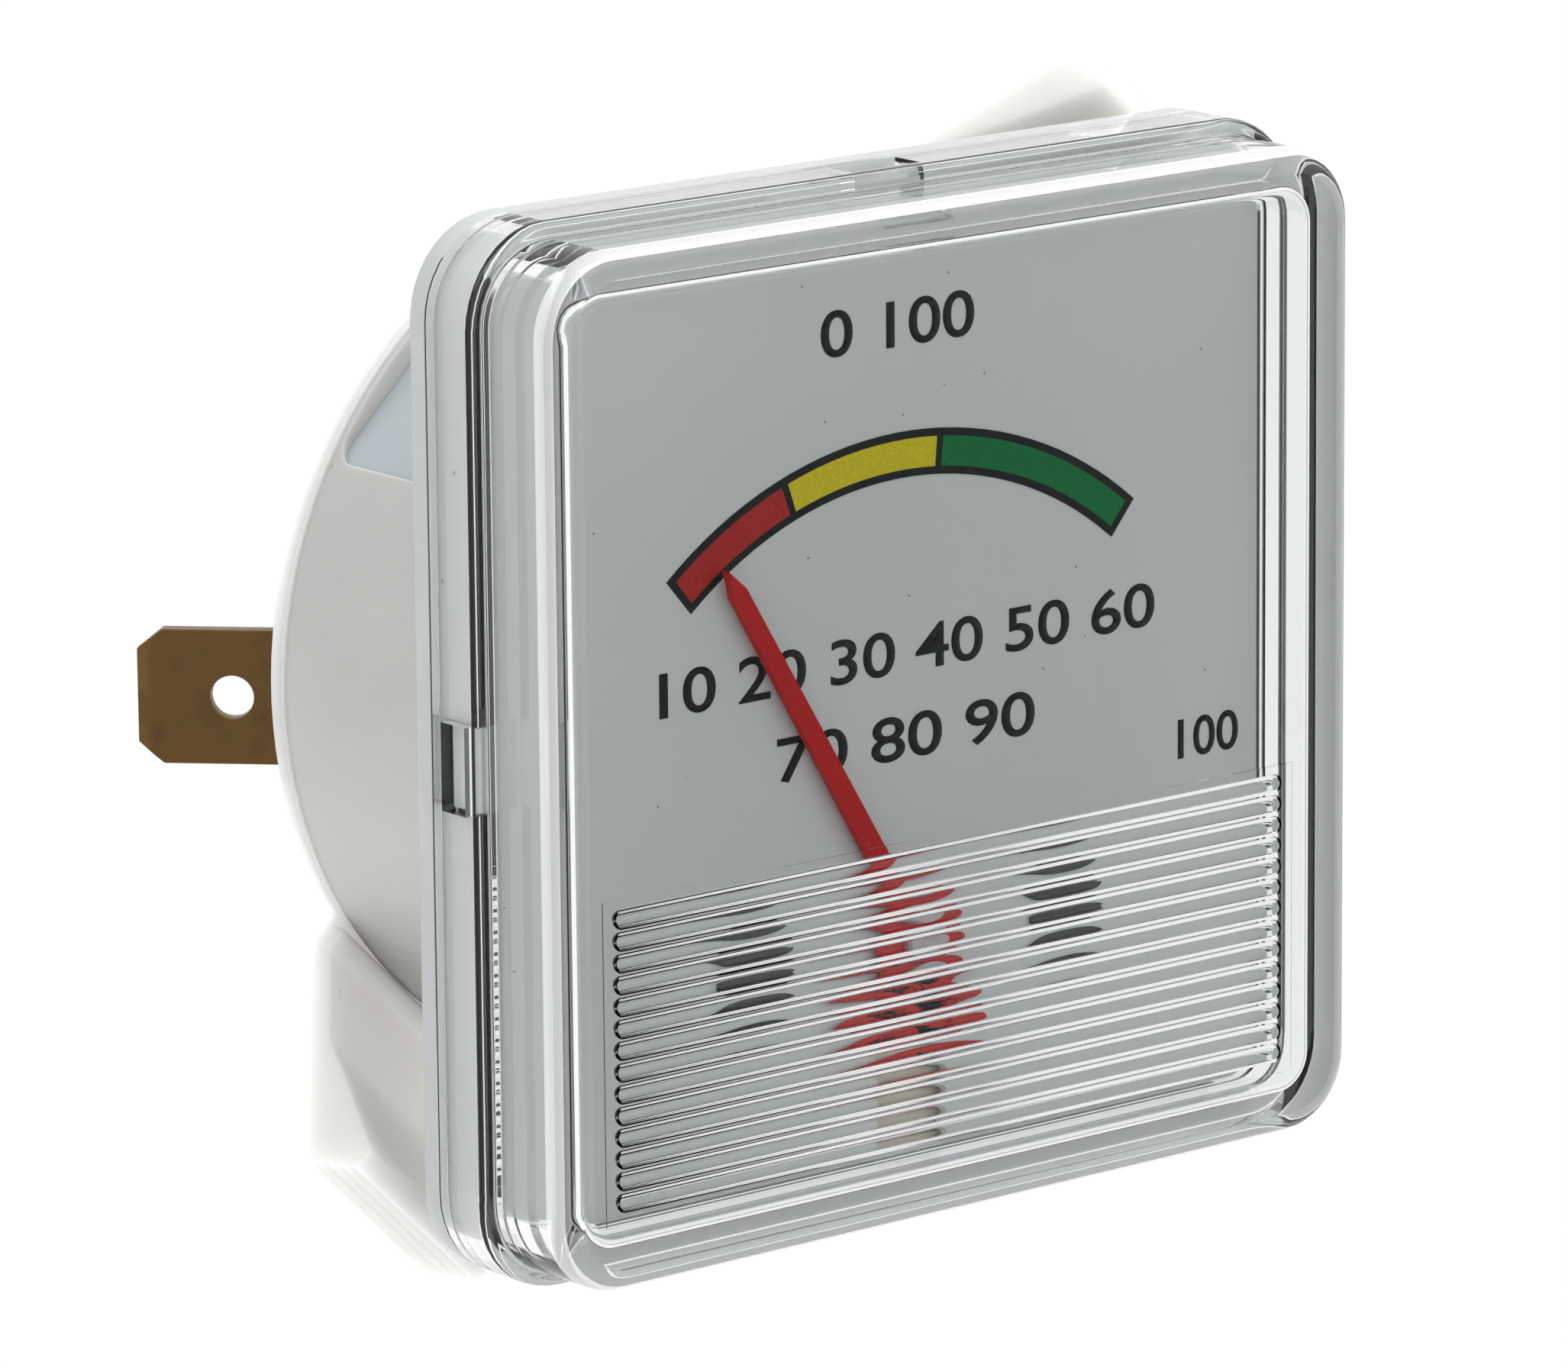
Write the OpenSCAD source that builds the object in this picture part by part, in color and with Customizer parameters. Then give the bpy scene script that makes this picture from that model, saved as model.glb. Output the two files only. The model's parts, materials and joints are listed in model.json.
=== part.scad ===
// Panel-mounted battery condition meter, 48 mm square, moving-coil movement.
// Origin: centre of the rear face of the bezel, which seats on the panel.
// The dial faces -Y, the round housing and the terminals reach to +Y, and +Z is up.

/* [Bezel] */
// Width and height of the square bezel
bezel_w = 48; // [47:0.5:52]
// Panel face to the front face of the clear cover
bezel_depth = 9.1; // [8.6:0.1:10]
// Corner radius of the bezel's outline
corner_r = 4.4; // [4:0.1:5]
// Thickness of the clear frame behind the cover
frame_t = 1.05; // [0.9:0.05:1.3]
// How far the front tier is set in from the outline
tier_step = 0.75; // [0.6:0.05:0.9]
// Front face to the ledge between the two tiers
tier_depth = 4.9; // [4.7:0.1:5.1]
// Rounding of the front edge
front_edge_r = 1.1; // [0.8:0.1:1.4]
// Thickness of the front window
window_t = 1.5; // [1.3:0.1:1.7]
// Wall of the cover's rear tier
rear_tier_wall = 1.1; // [1:0.05:1.2]
// Wall of the cover's front tier
front_tier_wall = 1.85; // [1.7:0.05:1.9]
// Width of the snap latch at the middle of each side
latch_w = 3.8; // [3:0.1:5]

/* [Reeded window] */
// Number of ribs across the lower window
rib_count = 14; // [10:1:14]
// Distance from one rib to the next
rib_pitch = 0.99; // [0.95:0.01:1.02]
// Radius of a rib's half-round section
rib_r = 0.43; // [0.35:0.01:0.45]
// Height of the top rib's centre
rib_top_z = -6.5; // [-6.7:0.1:-6.3]
// Length of a rib
rib_len = 39.1; // [36:0.1:40]

/* [Housing] */
// Outer radius of the round housing
drum_r = 20.7; // [20.2:0.1:21]
// Wall of the round housing
drum_wall = 1.6; // [1.5:0.1:1.8]
// Panel face to the housing's rear face
drum_depth = 15.2; // [14.8:0.1:16]
// Thickness of the rear wall
rear_wall = 1.5; // [1.3:0.1:1.7]
// Thickness of the square flange that carries the dial
flange_t = 2.55; // [2.4:0.05:2.7]
// Radius of the boss that the clamp turns on
boss_r = 17.4; // [17:0.1:17.8]
// Depth of the two flat recesses in the housing's side
recess_depth = 0.95; // [0.7:0.05:1]
// Width of a recess across its flat
recess_w = 11.4; // [9:0.1:12]
// Direction of the recesses, up from the horizontal
recess_angle = 46; // [40:1:50]

/* [Clamp] */
// Thickness of the ring that turns on the boss
clamp_ring_t = 0.8; // [0.7:0.05:0.9]
// How far the ring stands proud of the housing's side
clamp_lip = 0.15; // [0.1:0.05:0.3]
// Thickness of a leg where it leaves the ring
leg_t = 1.4; // [1.2:0.1:1.6]
// Width of a leg
leg_w = 9.5; // [8:0.1:10.5]
// Axis to the toe of a leg
leg_reach = 32.1; // [31:0.1:33]
// Gap for the panel between the bezel and the toes
panel_gap = 2.7; // [2.2:0.1:3.5]
// Height of the serrated end face of a toe
toe_h = 3.5; // [3:0.1:4]
// Number of serrations on a toe
toe_teeth = 4; // [3:1:5]
// Turn that unlocks the clamp, in degrees
clamp_turn = 30; // [26:1:34]

/* [Dial] */
// Width and height of the dial plate
dial_w = 42.4; // [42:0.1:42.6]
// Thickness of the dial plate
dial_t = 0.4; // [0.3:0.05:0.5]
// Thickness of the printed ink
ink_t = 0.04; // [0.03:0.01:0.06]
// Height of the scale arc's centre
scale_z = -9.05; // [-9.3:0.05:-8.8]
// Outer radius of the scale arc
scale_r = 21.2; // [20.5:0.1:21.5]
// Width of the scale arc with its outline
scale_band = 2.1; // [1.8:0.1:2.4]
// Width of the scale's black outline
outline_w = 0.36; // [0.25:0.01:0.45]
// Half the angle of the scale arc
scale_half = 40; // [36:1:42]
// Angle of the line between the red and yellow fields, from upright
red_end = -19.3; // [-22:0.1:-16]
// Angle of the line between the yellow and green fields, from upright
yellow_end = 5.8; // [3:0.1:9]
// Distance between the two dial screws
screw_gap = 17.9; // [17.6:0.1:18.4]
// Radius of a dial screw's head
screw_head_r = 2.1; // [1.8:0.1:2.2]

/* [Movement] */
// Height of the pointer's axis
pivot_z = -10.8; // [-11:0.05:-10.6]
// Angle of the pointer at rest, from upright
pointer_rest = -30.7; // [-32:0.1:-28]
// Axis to the pointer's tip
pointer_len = 21.2; // [20:0.1:21.6]
// Width of the pointer near its hub
pointer_w = 1.05; // [0.8:0.05:1.3]
// Thickness of the pointer
pointer_t = 0.45; // [0.35:0.05:0.5]
// Dial face to the back of the pointer
pointer_lift = 0.45; // [0.35:0.05:0.6]
// Radius of the pointer's hub
hub_r = 2.4; // [2.2:0.1:2.6]
// Axis to the rim of the pointer's balance fan
fan_r = 5.6; // [5:0.1:6]
// Radius of the moving coil's shaft
staff_r = 0.45; // [0.4:0.05:0.5]
// Radius of the core magnet inside the coil
core_r = 4.3; // [4.1:0.1:4.4]
// Length of the core magnet and of the ring around it
core_len = 7.8; // [7.4:0.1:8]
// Inner radius of the iron ring
yoke_inner_r = 6.05; // [6:0.05:6.2]
// Outer radius of the iron ring
yoke_outer_r = 8; // [7.8:0.05:8.05]
// Radial thickness of the copper winding
winding_t = 0.8; // [0.6:0.05:0.85]
// Width of the copper winding
winding_w = 2.6; // [2.2:0.1:2.8]
// Turns of each hairspring
spring_turns = 3.25; // [2.25:1:4.25]
// Outer radius of each hairspring
spring_r = 3; // [2.8:0.1:3]

/* [Terminals] */
// Width of a blade
blade_w = 6.3; // [6.3:0.1:6.4]
// Thickness of a blade
blade_t = 0.8; // [0.7:0.05:0.85]
// Length of a blade from its bend to its tip
blade_len = 10.2; // [9.5:0.1:11]
// Bend to the centre of a blade's hole
blade_hole_s = 5.8; // [5.4:0.1:6]
// Radius of a blade's hole
blade_hole_r = 1; // [0.8:0.05:1.1]
// Length of the chamfer on a tip's corners
tip_chamfer = 1.2; // [0.8:0.1:1.5]
// Distance from the middle to a blade's bend
bend_x = 16; // [15.6:0.1:16.2]
// Distance from the middle to a terminal's rivet
rivet_x = 12.2; // [12:0.1:12.6]
// Height of the terminals' centre line
terminal_z = -1.2; // [-1.6:0.1:-0.8]
// Angle between a blade and the rear face
blade_angle = 45; // [43:1:48]

/* [Hidden] */

$fn = 96;
hull_fn = 32;
play = 0.1;          // clearance between fixed pieces that fit into each other
run = 0.05;          // radial clearance of a running fit
cut = 0.5;           // how far a cutter reaches past the surface that it opens

// Places along Y, from the front to the rear
front_y = -bezel_depth;
ledge_y = front_y + tier_depth;
window_y = front_y + window_t;
flange_front_y = -frame_t - flange_t;
dial_y = flange_front_y - dial_t;
pointer_back_y = dial_y - pointer_lift;
pointer_front_y = pointer_back_y - pointer_t;
rear_inner_y = drum_depth - rear_wall;
ring_front_y = drum_depth - clamp_ring_t;
shoulder_y = ring_front_y - play;

// Outlines of the bezel's tiers
tier_w = bezel_w - 2 * tier_step;
tier_r = corner_r - tier_step;
cavity_w = tier_w - 2 * front_tier_wall;
cavity_r = tier_r - front_tier_wall;
rear_cavity_w = bezel_w - 2 * rear_tier_wall;
rear_cavity_r = corner_r - rear_tier_wall;
rib_sink = rib_r * 0.15;
flange_w = rear_cavity_w - 2 * play;
flange_r = rear_cavity_r - play;
drum_inner_r = drum_r - drum_wall;
lug_h = (drum_r - boss_r) / 2.2;

// Snap latches
latch_t = 0.7;
latch_catch = 0.75;
latch_notch = latch_t + 3 * play;
latch_front_y = -frame_t - 2.3;
latch_bar = 0.7;     // the cover's bar that the latch's barb holds
latch_sides = [180, 270]; // the left and the top side

// Movement: the front faces of its layers
bridge_t = 0.8;
bridge_w = 5.6;
bridge_y = flange_front_y + 1;
frame_front_y = bridge_y + bridge_t;
core_y = frame_front_y + (rear_inner_y - frame_front_y - core_len) * 24 / 77;
core_back_y = core_y + core_len;
bracket_t = 0.5;
coil_gap = 0.3;
former_t = 0.2;
coil_inner_r = core_r + coil_gap;
coil_outer_r = coil_inner_r + former_t + winding_t;
coil_front_y = core_y - coil_gap - former_t - winding_t;
coil_back_y = core_back_y + bracket_t + coil_gap + former_t + winding_t;
rear_bridge_y = coil_back_y + 0.8;
frame_outer_r = yoke_outer_r + 2.55;
frame_inner_r = yoke_outer_r + play / 2;
screw_x = screw_gap / 2;
post_r = 1.7;
shank_r = 0.9;
bush_r = 1.3;
lever_t = 0.4;
lever_y = bridge_y - lever_t - play;
lever_w = 4.8;
lever_len = dial_w / 2 + pivot_z - 0.6;
lever_turn = 8;
pocket_w = lever_w + 2 * lever_len * sin(lever_turn) + 6 * play;
staff_front_y = pointer_front_y - 0.5;
weight_r = 1;
weight_h = 0.5;
weight_reach = fan_r - weight_r - 0.1;
spring_t = 0.12;
spring_h = 0.3;
spring_off = 0.2;    // from the coil to the spring's nearer face
collar_r = 1;
collar_h = spring_off + spring_h + play;
stud_r = 0.35;
stud_reach = spring_r + stud_r + run;
frame_screw_x = 6.4;
frame_screw_z = pivot_z + 8.6;
slot_w = 3.9;
dial_hole_r = 1.7;

// Electronics
board_y = drum_depth - 6.2;
board_t = 1;
board_z = 9.4;
board_w = 21;
board_h = 7.6;
post_x = 8;
part_x = 6.2;
resistor_r = 1.15;
resistor_z = 10.8;
zener_r = 0.9;
zener_z = 7.8;
lead_r = 0.5;

// ---------- helpers ----------

// Extrudes a drawing in X and Z between two places along Y
module slab(front, back) {
    translate([0, back, 0]) rotate([90, 0, 0]) linear_extrude(back - front) children();
}

// A round bar along Y
module rod(x, z, r, front, back) {
    translate([x, back, z]) rotate([90, 0, 0]) cylinder(r = r, h = back - front);
}

// Turns a profile of radius and Y round the Y axis, through an angle measured from +X towards +Z
module turned(angle = 360) {
    rotate([90, 0, 0]) rotate_extrude(angle = angle) mirror([0, 1]) children();
}

// A square with rounded corners
module rounded_square(w, r) {
    square([w - 2 * r, w], center = true);
    square([w, w - 2 * r], center = true);
    for (x = [-1, 1], z = [-1, 1]) translate([x * (w / 2 - r), z * (w / 2 - r)]) circle(r);
}

// Repeats its children at the middle of each side that has a latch
module at_latches() {
    for (a = latch_sides) rotate([0, a, 0]) children();
}

// Puts its children on the pointer's axis, turned with the pointer
module with_pointer() {
    translate([0, 0, pivot_z]) rotate([0, pointer_rest, 0]) children();
}

// Puts its children on the pointer's axis, not turned
module at_pivot() {
    translate([0, 0, pivot_z]) children();
}

// A ring drawn in X and Z
module ring(outer, inner) {
    difference() {
        circle(outer);
        circle(inner);
    }
}

// A wedge of a ring between two angles measured from upright, clockwise as the dial is seen
module arc_band(outer, inner, from, to) {
    reach = outer * 1.5;
    steps = 4;
    difference() {
        intersection() {
            circle(outer);
            polygon(concat([[0, 0]], [for (i = [0:steps])
                reach * [sin(from + (to - from) * i / steps), cos(from + (to - from) * i / steps)]]));
        }
        circle(inner);
    }
}

// A round wire along straight runs, with a ball at each turn
module wire(points, r) {
    for (i = [0:len(points) - 2]) {
        run_vector = points[i + 1] - points[i];
        run_length = norm(run_vector);
        tilt = acos(run_vector[2] / run_length);
        heading = atan2(run_vector[1], run_vector[0]);
        translate(points[i]) rotate([0, tilt, heading]) cylinder(r = r, h = run_length);
        if (i > 0) translate(points[i]) sphere(r);
    }
}

// ---------- bezel ----------

// One corner of the front tier, with the rounded front edge
module tier_corner() {
    steps = 6;
    rotate([90, 0, 0]) rotate_extrude($fn = hull_fn) polygon(concat(
        [[0, -ledge_y], [tier_r, -ledge_y]],
        [for (i = [0:steps]) [tier_r - front_edge_r + front_edge_r * cos(90 * i / steps),
            -front_y - front_edge_r + front_edge_r * sin(90 * i / steps)]],
        [[0, -front_y]]));
}

module front_tier() {
    reach = tier_w / 2 - tier_r;
    hull() for (x = [-reach, reach], z = [-reach, reach]) translate([x, 0, z]) tier_corner();
}

// A rib with rounded ends, partly sunk into the window's inner face
module rib(z) {
    reach = rib_len / 2 - rib_r;
    translate([0, window_y - rib_sink, z]) rotate([0, 90, 0]) {
        translate([0, 0, -reach]) cylinder(r = rib_r, h = 2 * reach);
        for (end = [-reach, reach]) translate([0, 0, end]) sphere(rib_r);
    }
}

module front_cover() {
    color([0.9, 0.93, 0.94, 0.35]) {
        difference() {
            union() {
                front_tier();
                slab(ledge_y, -frame_t) rounded_square(bezel_w, corner_r);
            }
            slab(window_y, -frame_t + cut) rounded_square(cavity_w, cavity_r);
            slab(flange_front_y, -frame_t + cut) rounded_square(rear_cavity_w, rear_cavity_r);
            at_latches() translate([rear_cavity_w / 2 - cut, latch_front_y - play, -latch_w / 2 - play])
                cube([rear_tier_wall + 2 * cut, -frame_t - latch_bar - latch_front_y + play,
                    latch_w + 2 * play]);
        }
        for (i = [0:rib_count - 1]) rib(rib_top_z - i * rib_pitch);
    }
}

module latch() {
    outer = flange_w / 2 - play;
    translate([outer - latch_t, latch_front_y, -latch_w / 2])
        cube([latch_t, -frame_t - latch_front_y + cut, latch_w]);
    translate([outer - latch_t, latch_front_y, -latch_w / 2])
        cube([latch_t + latch_catch, -frame_t - latch_bar - play - latch_front_y, latch_w]);
}

module rear_frame() {
    color([0.88, 0.91, 0.92, 0.4]) {
        slab(-frame_t, 0) difference() {
            rounded_square(bezel_w, corner_r);
            circle(drum_r + play);
        }
        at_latches() latch();
    }
}

// ---------- housing and clamp ----------

module side_recess() {
    corner = 1.2;
    back = shoulder_y - 0.4;
    reach = recess_w / 2;
    translate([drum_r - recess_depth, 0, 0]) rotate([90, 0, 90]) linear_extrude(recess_depth + 1) {
        translate([0, -reach]) square([back - corner, recess_w]);
        translate([0, -reach + corner]) square([back, recess_w - 2 * corner]);
        for (z = [-1, 1]) translate([back - corner, z * (reach - corner)]) circle(corner);
    }
}

module bayonet_lug() {
    span = 20;
    inner = boss_r - 1.6;
    outer = boss_r + lug_h;
    top = drum_depth + 0.7;
    rotate([0, span / 2, 0]) turned(span) polygon([[inner, drum_depth - cut], [boss_r, drum_depth - cut],
        [boss_r, drum_depth + play], [outer, drum_depth + play], [outer, top], [inner, top]]);
}

// Places the lugs, or the notches that pass them, above and below the terminals
module lug_places() {
    for (a = [65, 115, 245, 295]) rotate([0, -a, 0]) children();
}

module board_post(x) {
    rod(x, board_z, 1.6, board_y + board_t, rear_inner_y + cut);
}

module housing() {
    color([0.9, 0.89, 0.87]) {
        difference() {
            union() {
                slab(flange_front_y, -frame_t) rounded_square(flange_w, flange_r);
                rod(0, 0, drum_r, -frame_t - cut, shoulder_y);
                rod(0, 0, boss_r, shoulder_y - cut, drum_depth);
            }
            rod(0, 0, drum_inner_r, flange_front_y - cut, rear_inner_y);
            at_latches() translate([flange_w / 2 - latch_notch, flange_front_y - cut, -latch_w / 2 - play])
                cube([latch_notch + cut, flange_t + cut, latch_w + 2 * play]);
            translate([-pocket_w / 2, flange_front_y - cut, pivot_z - lever_len - 5 * play])
                cube([pocket_w, cut + lever_y + lever_t + 2 * play - flange_front_y, lever_len]);
            for (turn = [180 + recess_angle, recess_angle]) rotate([0, turn, 0]) side_recess();
            for (x = [-rivet_x, rivet_x])
                rod(x, terminal_z, rivet_r + run, rear_inner_y - cut, drum_depth + cut);
            for (x = [-frame_screw_x, frame_screw_x])
                rod(x, frame_screw_z, frame_screw_r + run, rear_inner_y - cut, drum_depth + cut);
        }
        for (x = [-post_x, post_x]) board_post(x);
        lug_places() bayonet_lug();
    }
}

// Profile of a leg: distance from the axis, and Y
function toe_wave(t) = 0.14 * (1 - cos(360 * toe_teeth * t)) / 2;
module leg_profile() {
    root = drum_r + clamp_lip;
    bend = root + 1.15;
    toe_back = panel_gap + toe_h;
    knee_y = drum_depth - leg_t - 4;
    shin_y = drum_depth - leg_t - 5.7;
    toe_lean = 0.5;
    steps = 4 * toe_teeth;
    back_at = function(y) bend + (leg_reach - bend) * (drum_depth - y) / (drum_depth - toe_back);
    polygon(concat(
        [[root - 1, drum_depth], [root - 1, ring_front_y], [root, ring_front_y]],
        [[root, drum_depth - leg_t], [bend, drum_depth - leg_t]],
        [[back_at(knee_y) - 1.3 * leg_t, knee_y], [back_at(shin_y) - 2 * leg_t, shin_y]],
        [[leg_reach - toe_lean - 1.1, panel_gap], [leg_reach - toe_lean, panel_gap]],
        [for (i = [1:steps]) [leg_reach - toe_lean * (1 - i / steps) - toe_wave(i / steps),
            panel_gap + toe_h * i / steps]],
        [[leg_reach, toe_back + 0.05], [bend, drum_depth]]));
}

module clamp_leg() {
    translate([0, 0, -leg_w / 2]) linear_extrude(leg_w) leg_profile();
}

module mounting_clamp() {
    outer = drum_r + clamp_lip;
    notch_r = boss_r + lug_h + 2 * play;
    color([0.84, 0.85, 0.84]) {
        difference() {
            slab(ring_front_y, drum_depth) ring(outer, boss_r + play);
            lug_places() rotate([0, clamp_turn * -1, 0]) rotate([0, 12, 0]) turned(24)
                polygon([[boss_r - 1, ring_front_y - cut], [notch_r, ring_front_y - cut],
                    [notch_r, drum_depth + cut], [boss_r - 1, drum_depth + cut]]);
        }
        difference() {
            for (turn = [135, 315]) rotate([0, turn, 0]) clamp_leg();
            rod(0, 0, outer, 0, ring_front_y);
        }
    }
}

// ---------- dial ----------

module dial_plate() {
    color([0.7, 0.72, 0.73]) slab(dial_y, flange_front_y) difference() {
        rounded_square(dial_w, cavity_r - play);
        translate([0, pivot_z]) circle(dial_hole_r);
        translate([-slot_w / 2, -dial_w]) square([slot_w, dial_w + pivot_z]);
        for (x = [-screw_x, screw_x]) translate([x, pivot_z]) circle(shank_r + run);
    }
}

module on_scale() {
    slab(dial_y - ink_t, dial_y) translate([0, scale_z]) children();
}

// A coloured field, inside the black outline
module scale_field(from, to) {
    mid_r = scale_r - scale_band / 2;
    half_line = asin(outline_w / 2 / mid_r);
    arc_band(scale_r - outline_w, scale_r - scale_band + outline_w, from + half_line, to - half_line);
}

function edge_angle() = asin(outline_w / 2 / (scale_r - scale_band / 2));

module scale_red() {
    color([0.74, 0.12, 0.14]) on_scale() scale_field(-scale_half + edge_angle(), red_end);
}

module scale_yellow() {
    color([0.88, 0.84, 0.2]) on_scale() scale_field(red_end, yellow_end);
}

module scale_green() {
    color([0.08, 0.5, 0.3]) on_scale() scale_field(yellow_end, scale_half - edge_angle());
}

module scale_outline() {
    color([0.06, 0.07, 0.07]) on_scale() difference() {
        arc_band(scale_r, scale_r - scale_band, -scale_half, scale_half);
        scale_field(-scale_half + edge_angle(), red_end);
        scale_field(red_end, yellow_end);
        scale_field(yellow_end, scale_half - edge_angle());
    }
}

module dial_screws() {
    head_h = 0.35;
    slot_depth = 0.2;
    shank_back = frame_front_y + 1.2;
    color([0.1, 0.1, 0.11]) for (x = [-screw_x, screw_x]) {
        difference() {
            rod(x, pivot_z, screw_head_r, dial_y - head_h, dial_y);
            translate([x - screw_head_r - cut, dial_y - head_h - cut, pivot_z - 0.25])
                cube([2 * screw_head_r + 2 * cut, slot_depth + cut, 0.5]);
        }
        rod(x, pivot_z, shank_r, dial_y - 0.2, shank_back);
    }
}

module dial_posts() {
    color([0.78, 0.66, 0.38]) for (x = [-screw_x, screw_x]) translate([x, 0, pivot_z])
        slab(flange_front_y, bridge_y) ring(post_r, shank_r + run);
}

// ---------- moving element ----------

module pointer() {
    tip_w = pointer_w * 0.8;
    root = hub_r - 0.6;
    point = 1.3;
    fan_from = 170;
    fan_to = 272;
    spoke_w = 0.8;
    color([0.78, 0.08, 0.1]) with_pointer() {
        slab(pointer_front_y, pointer_back_y) ring(hub_r, staff_r + run / 2);
        slab(pointer_front_y, pointer_back_y)
            polygon([[-pointer_w / 2, root], [-tip_w / 2, pointer_len - point], [0, pointer_len],
                [tip_w / 2, pointer_len - point], [pointer_w / 2, root]]);
        slab(pointer_front_y, pointer_back_y) arc_band(fan_r, hub_r + 1.2, fan_from, fan_to);
        for (a = [180, (fan_from + fan_to) / 2, fan_to - 14]) rotate([0, a, 0])
            translate([-spoke_w / 2, pointer_front_y, root]) cube([spoke_w, pointer_t, fan_r - root - 0.6]);
    }
}

module pointer_collet() {
    color([0.8, 0.8, 0.8]) with_pointer() slab(staff_front_y + 0.05, pointer_front_y)
        ring(staff_r + 0.7, staff_r + run / 2);
}

module balance_weight() {
    color([0.78, 0.08, 0.1]) with_pointer() translate([0, 0, -weight_reach])
        rod(0, 0, weight_r, pointer_front_y - weight_h, pointer_front_y);
}

module front_staff() {
    color([0.72, 0.73, 0.75]) with_pointer() {
        rod(0, 0, staff_r, staff_front_y, coil_front_y);
        rod(0, 0, collar_r, coil_front_y - collar_h, coil_front_y);
    }
}

module rear_staff() {
    cone_h = 0.55;
    cone_y = rear_bridge_y + 0.25;
    color([0.72, 0.73, 0.75]) with_pointer() {
        rod(0, 0, staff_r, coil_back_y, cone_y);
        rod(0, 0, collar_r, coil_back_y, coil_back_y + collar_h);
        translate([0, cone_y, 0]) rotate([-90, 0, 0]) cylinder(r1 = staff_r, r2 = 0.08, h = cone_h);
    }
}

// A rectangular loop round the core, seen along the winding's width
module coil_loop(r, front, back) {
    translate([-winding_w / 2, front, -r]) cube([winding_w, back - front, 2 * r]);
}

module coil_former() {
    outer = coil_inner_r + former_t;
    front = coil_front_y + winding_t;
    back = coil_back_y - winding_t;
    color([0.75, 0.76, 0.78]) with_pointer() difference() {
        coil_loop(outer, front, back);
        scale([2, 1, 1]) coil_loop(coil_inner_r, front + former_t, back - former_t);
    }
}

module moving_coil() {
    color([0.72, 0.4, 0.2]) with_pointer() difference() {
        coil_loop(coil_outer_r, coil_front_y, coil_back_y);
        scale([2, 1, 1]) coil_loop(coil_inner_r + former_t, coil_front_y + winding_t,
            coil_back_y - winding_t);
    }
}

// A flat spiral strip whose outer end points straight down
module spiral_strip() {
    inner = collar_r + run;
    per_turn = 20;
    steps = ceil(spring_turns * per_turn);
    edge = function(side) [for (i = [0:steps]) let (
        r = inner + (spring_r - spring_t - inner) * i / steps + side * spring_t,
        a = 270 - 360 * spring_turns * (1 - i / steps)) [r * cos(a), r * sin(a)]];
    outer_edge = edge(1);
    inner_edge = edge(0);
    polygon(concat(outer_edge, [for (i = [steps:-1:0]) inner_edge[i]]));
}

module front_hairspring() {
    y = coil_front_y - spring_off - spring_h;
    color([0.8, 0.6, 0.35]) at_pivot() slab(y, y + spring_h) spiral_strip();
}

module rear_hairspring() {
    y = coil_back_y + spring_off;
    color([0.8, 0.6, 0.35]) at_pivot() slab(y, y + spring_h) spiral_strip();
}

// ---------- fixed part of the movement ----------

module bridge_outline() {
    square([2 * screw_x + 2 * post_r, bridge_w], center = true);
}

module front_bridge() {
    color([0.7, 0.71, 0.73]) at_pivot() slab(bridge_y, frame_front_y) difference() {
        bridge_outline();
        circle(bush_r + run);
        for (x = [-screw_x, screw_x]) translate([x, 0]) circle(shank_r + run);
    }
}

module front_bush() {
    color([0.82, 0.7, 0.4]) at_pivot() slab(lever_y - play, frame_front_y) ring(bush_r, staff_r + run);
}

module rear_bridge() {
    color([0.7, 0.71, 0.73]) at_pivot() {
        slab(rear_bridge_y, rear_bridge_y + bridge_t) difference() {
            bridge_outline();
            circle(jewel_r + run);
            for (x = [-screw_x, screw_x]) translate([x, 0]) circle(shank_r + run);
        }
        translate([0, 0, -stud_reach])
            rod(0, 0, stud_r, coil_back_y + spring_off, rear_bridge_y + bridge_t);
        slab(rear_bridge_y, rear_bridge_y + bridge_t) translate([-stud_r, -stud_reach])
            square([2 * stud_r, stud_reach - bridge_w / 2 + cut]);
    }
}

jewel_r = 1.45;
module rear_jewel_screw() {
    cup_y = rear_bridge_y + 0.35;
    color([0.8, 0.68, 0.4]) at_pivot() difference() {
        rod(0, 0, jewel_r, cup_y, rear_inner_y - 0.25);
        translate([0, cup_y - 0.01, 0]) rotate([-90, 0, 0]) cylinder(r1 = 0.75, r2 = 0.1, h = 0.65);
        translate([-jewel_r - cut, rear_inner_y - 0.6, -0.2]) cube([2 * jewel_r + 2 * cut, 1, 0.4]);
    }
}

module bridge_screws() {
    color([0.66, 0.67, 0.69]) for (x = [-screw_x, screw_x]) {
        rod(x, pivot_z, 1.5, rear_bridge_y + bridge_t, rear_bridge_y + bridge_t + 0.7);
        rod(x, pivot_z, shank_r, rear_bridge_y - 2.5, rear_bridge_y + bridge_t + 0.2);
    }
}

module zero_lever() {
    color([0.86, 0.82, 0.74]) at_pivot() {
        slab(lever_y, lever_y + lever_t) difference() {
            union() {
                circle(bush_r + 1);
                translate([-lever_w / 2, -lever_len]) square([lever_w, lever_len]);
            }
            circle(bush_r + run);
        }
        rod(0, -stud_reach, stud_r, lever_y, coil_front_y - spring_off);
    }
}

module stop_pins() {
    stop_r = 5;
    stop_angle = 65;
    color([0.7, 0.71, 0.73]) at_pivot() for (side = [-1, 1])
        rod(side * stop_r * sin(stop_angle), stop_r * cos(stop_angle), 0.4,
            frame_front_y, coil_front_y + winding_t * 0.7);
}

module core_magnet() {
    color([0.42, 0.43, 0.46]) rod(0, pivot_z, core_r, core_y, core_back_y);
}

module core_bracket() {
    color([0.78, 0.66, 0.38]) at_pivot() slab(core_back_y, core_back_y + bracket_t)
        square([2 * yoke_outer_r - 0.8, 3], center = true);
}

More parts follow.
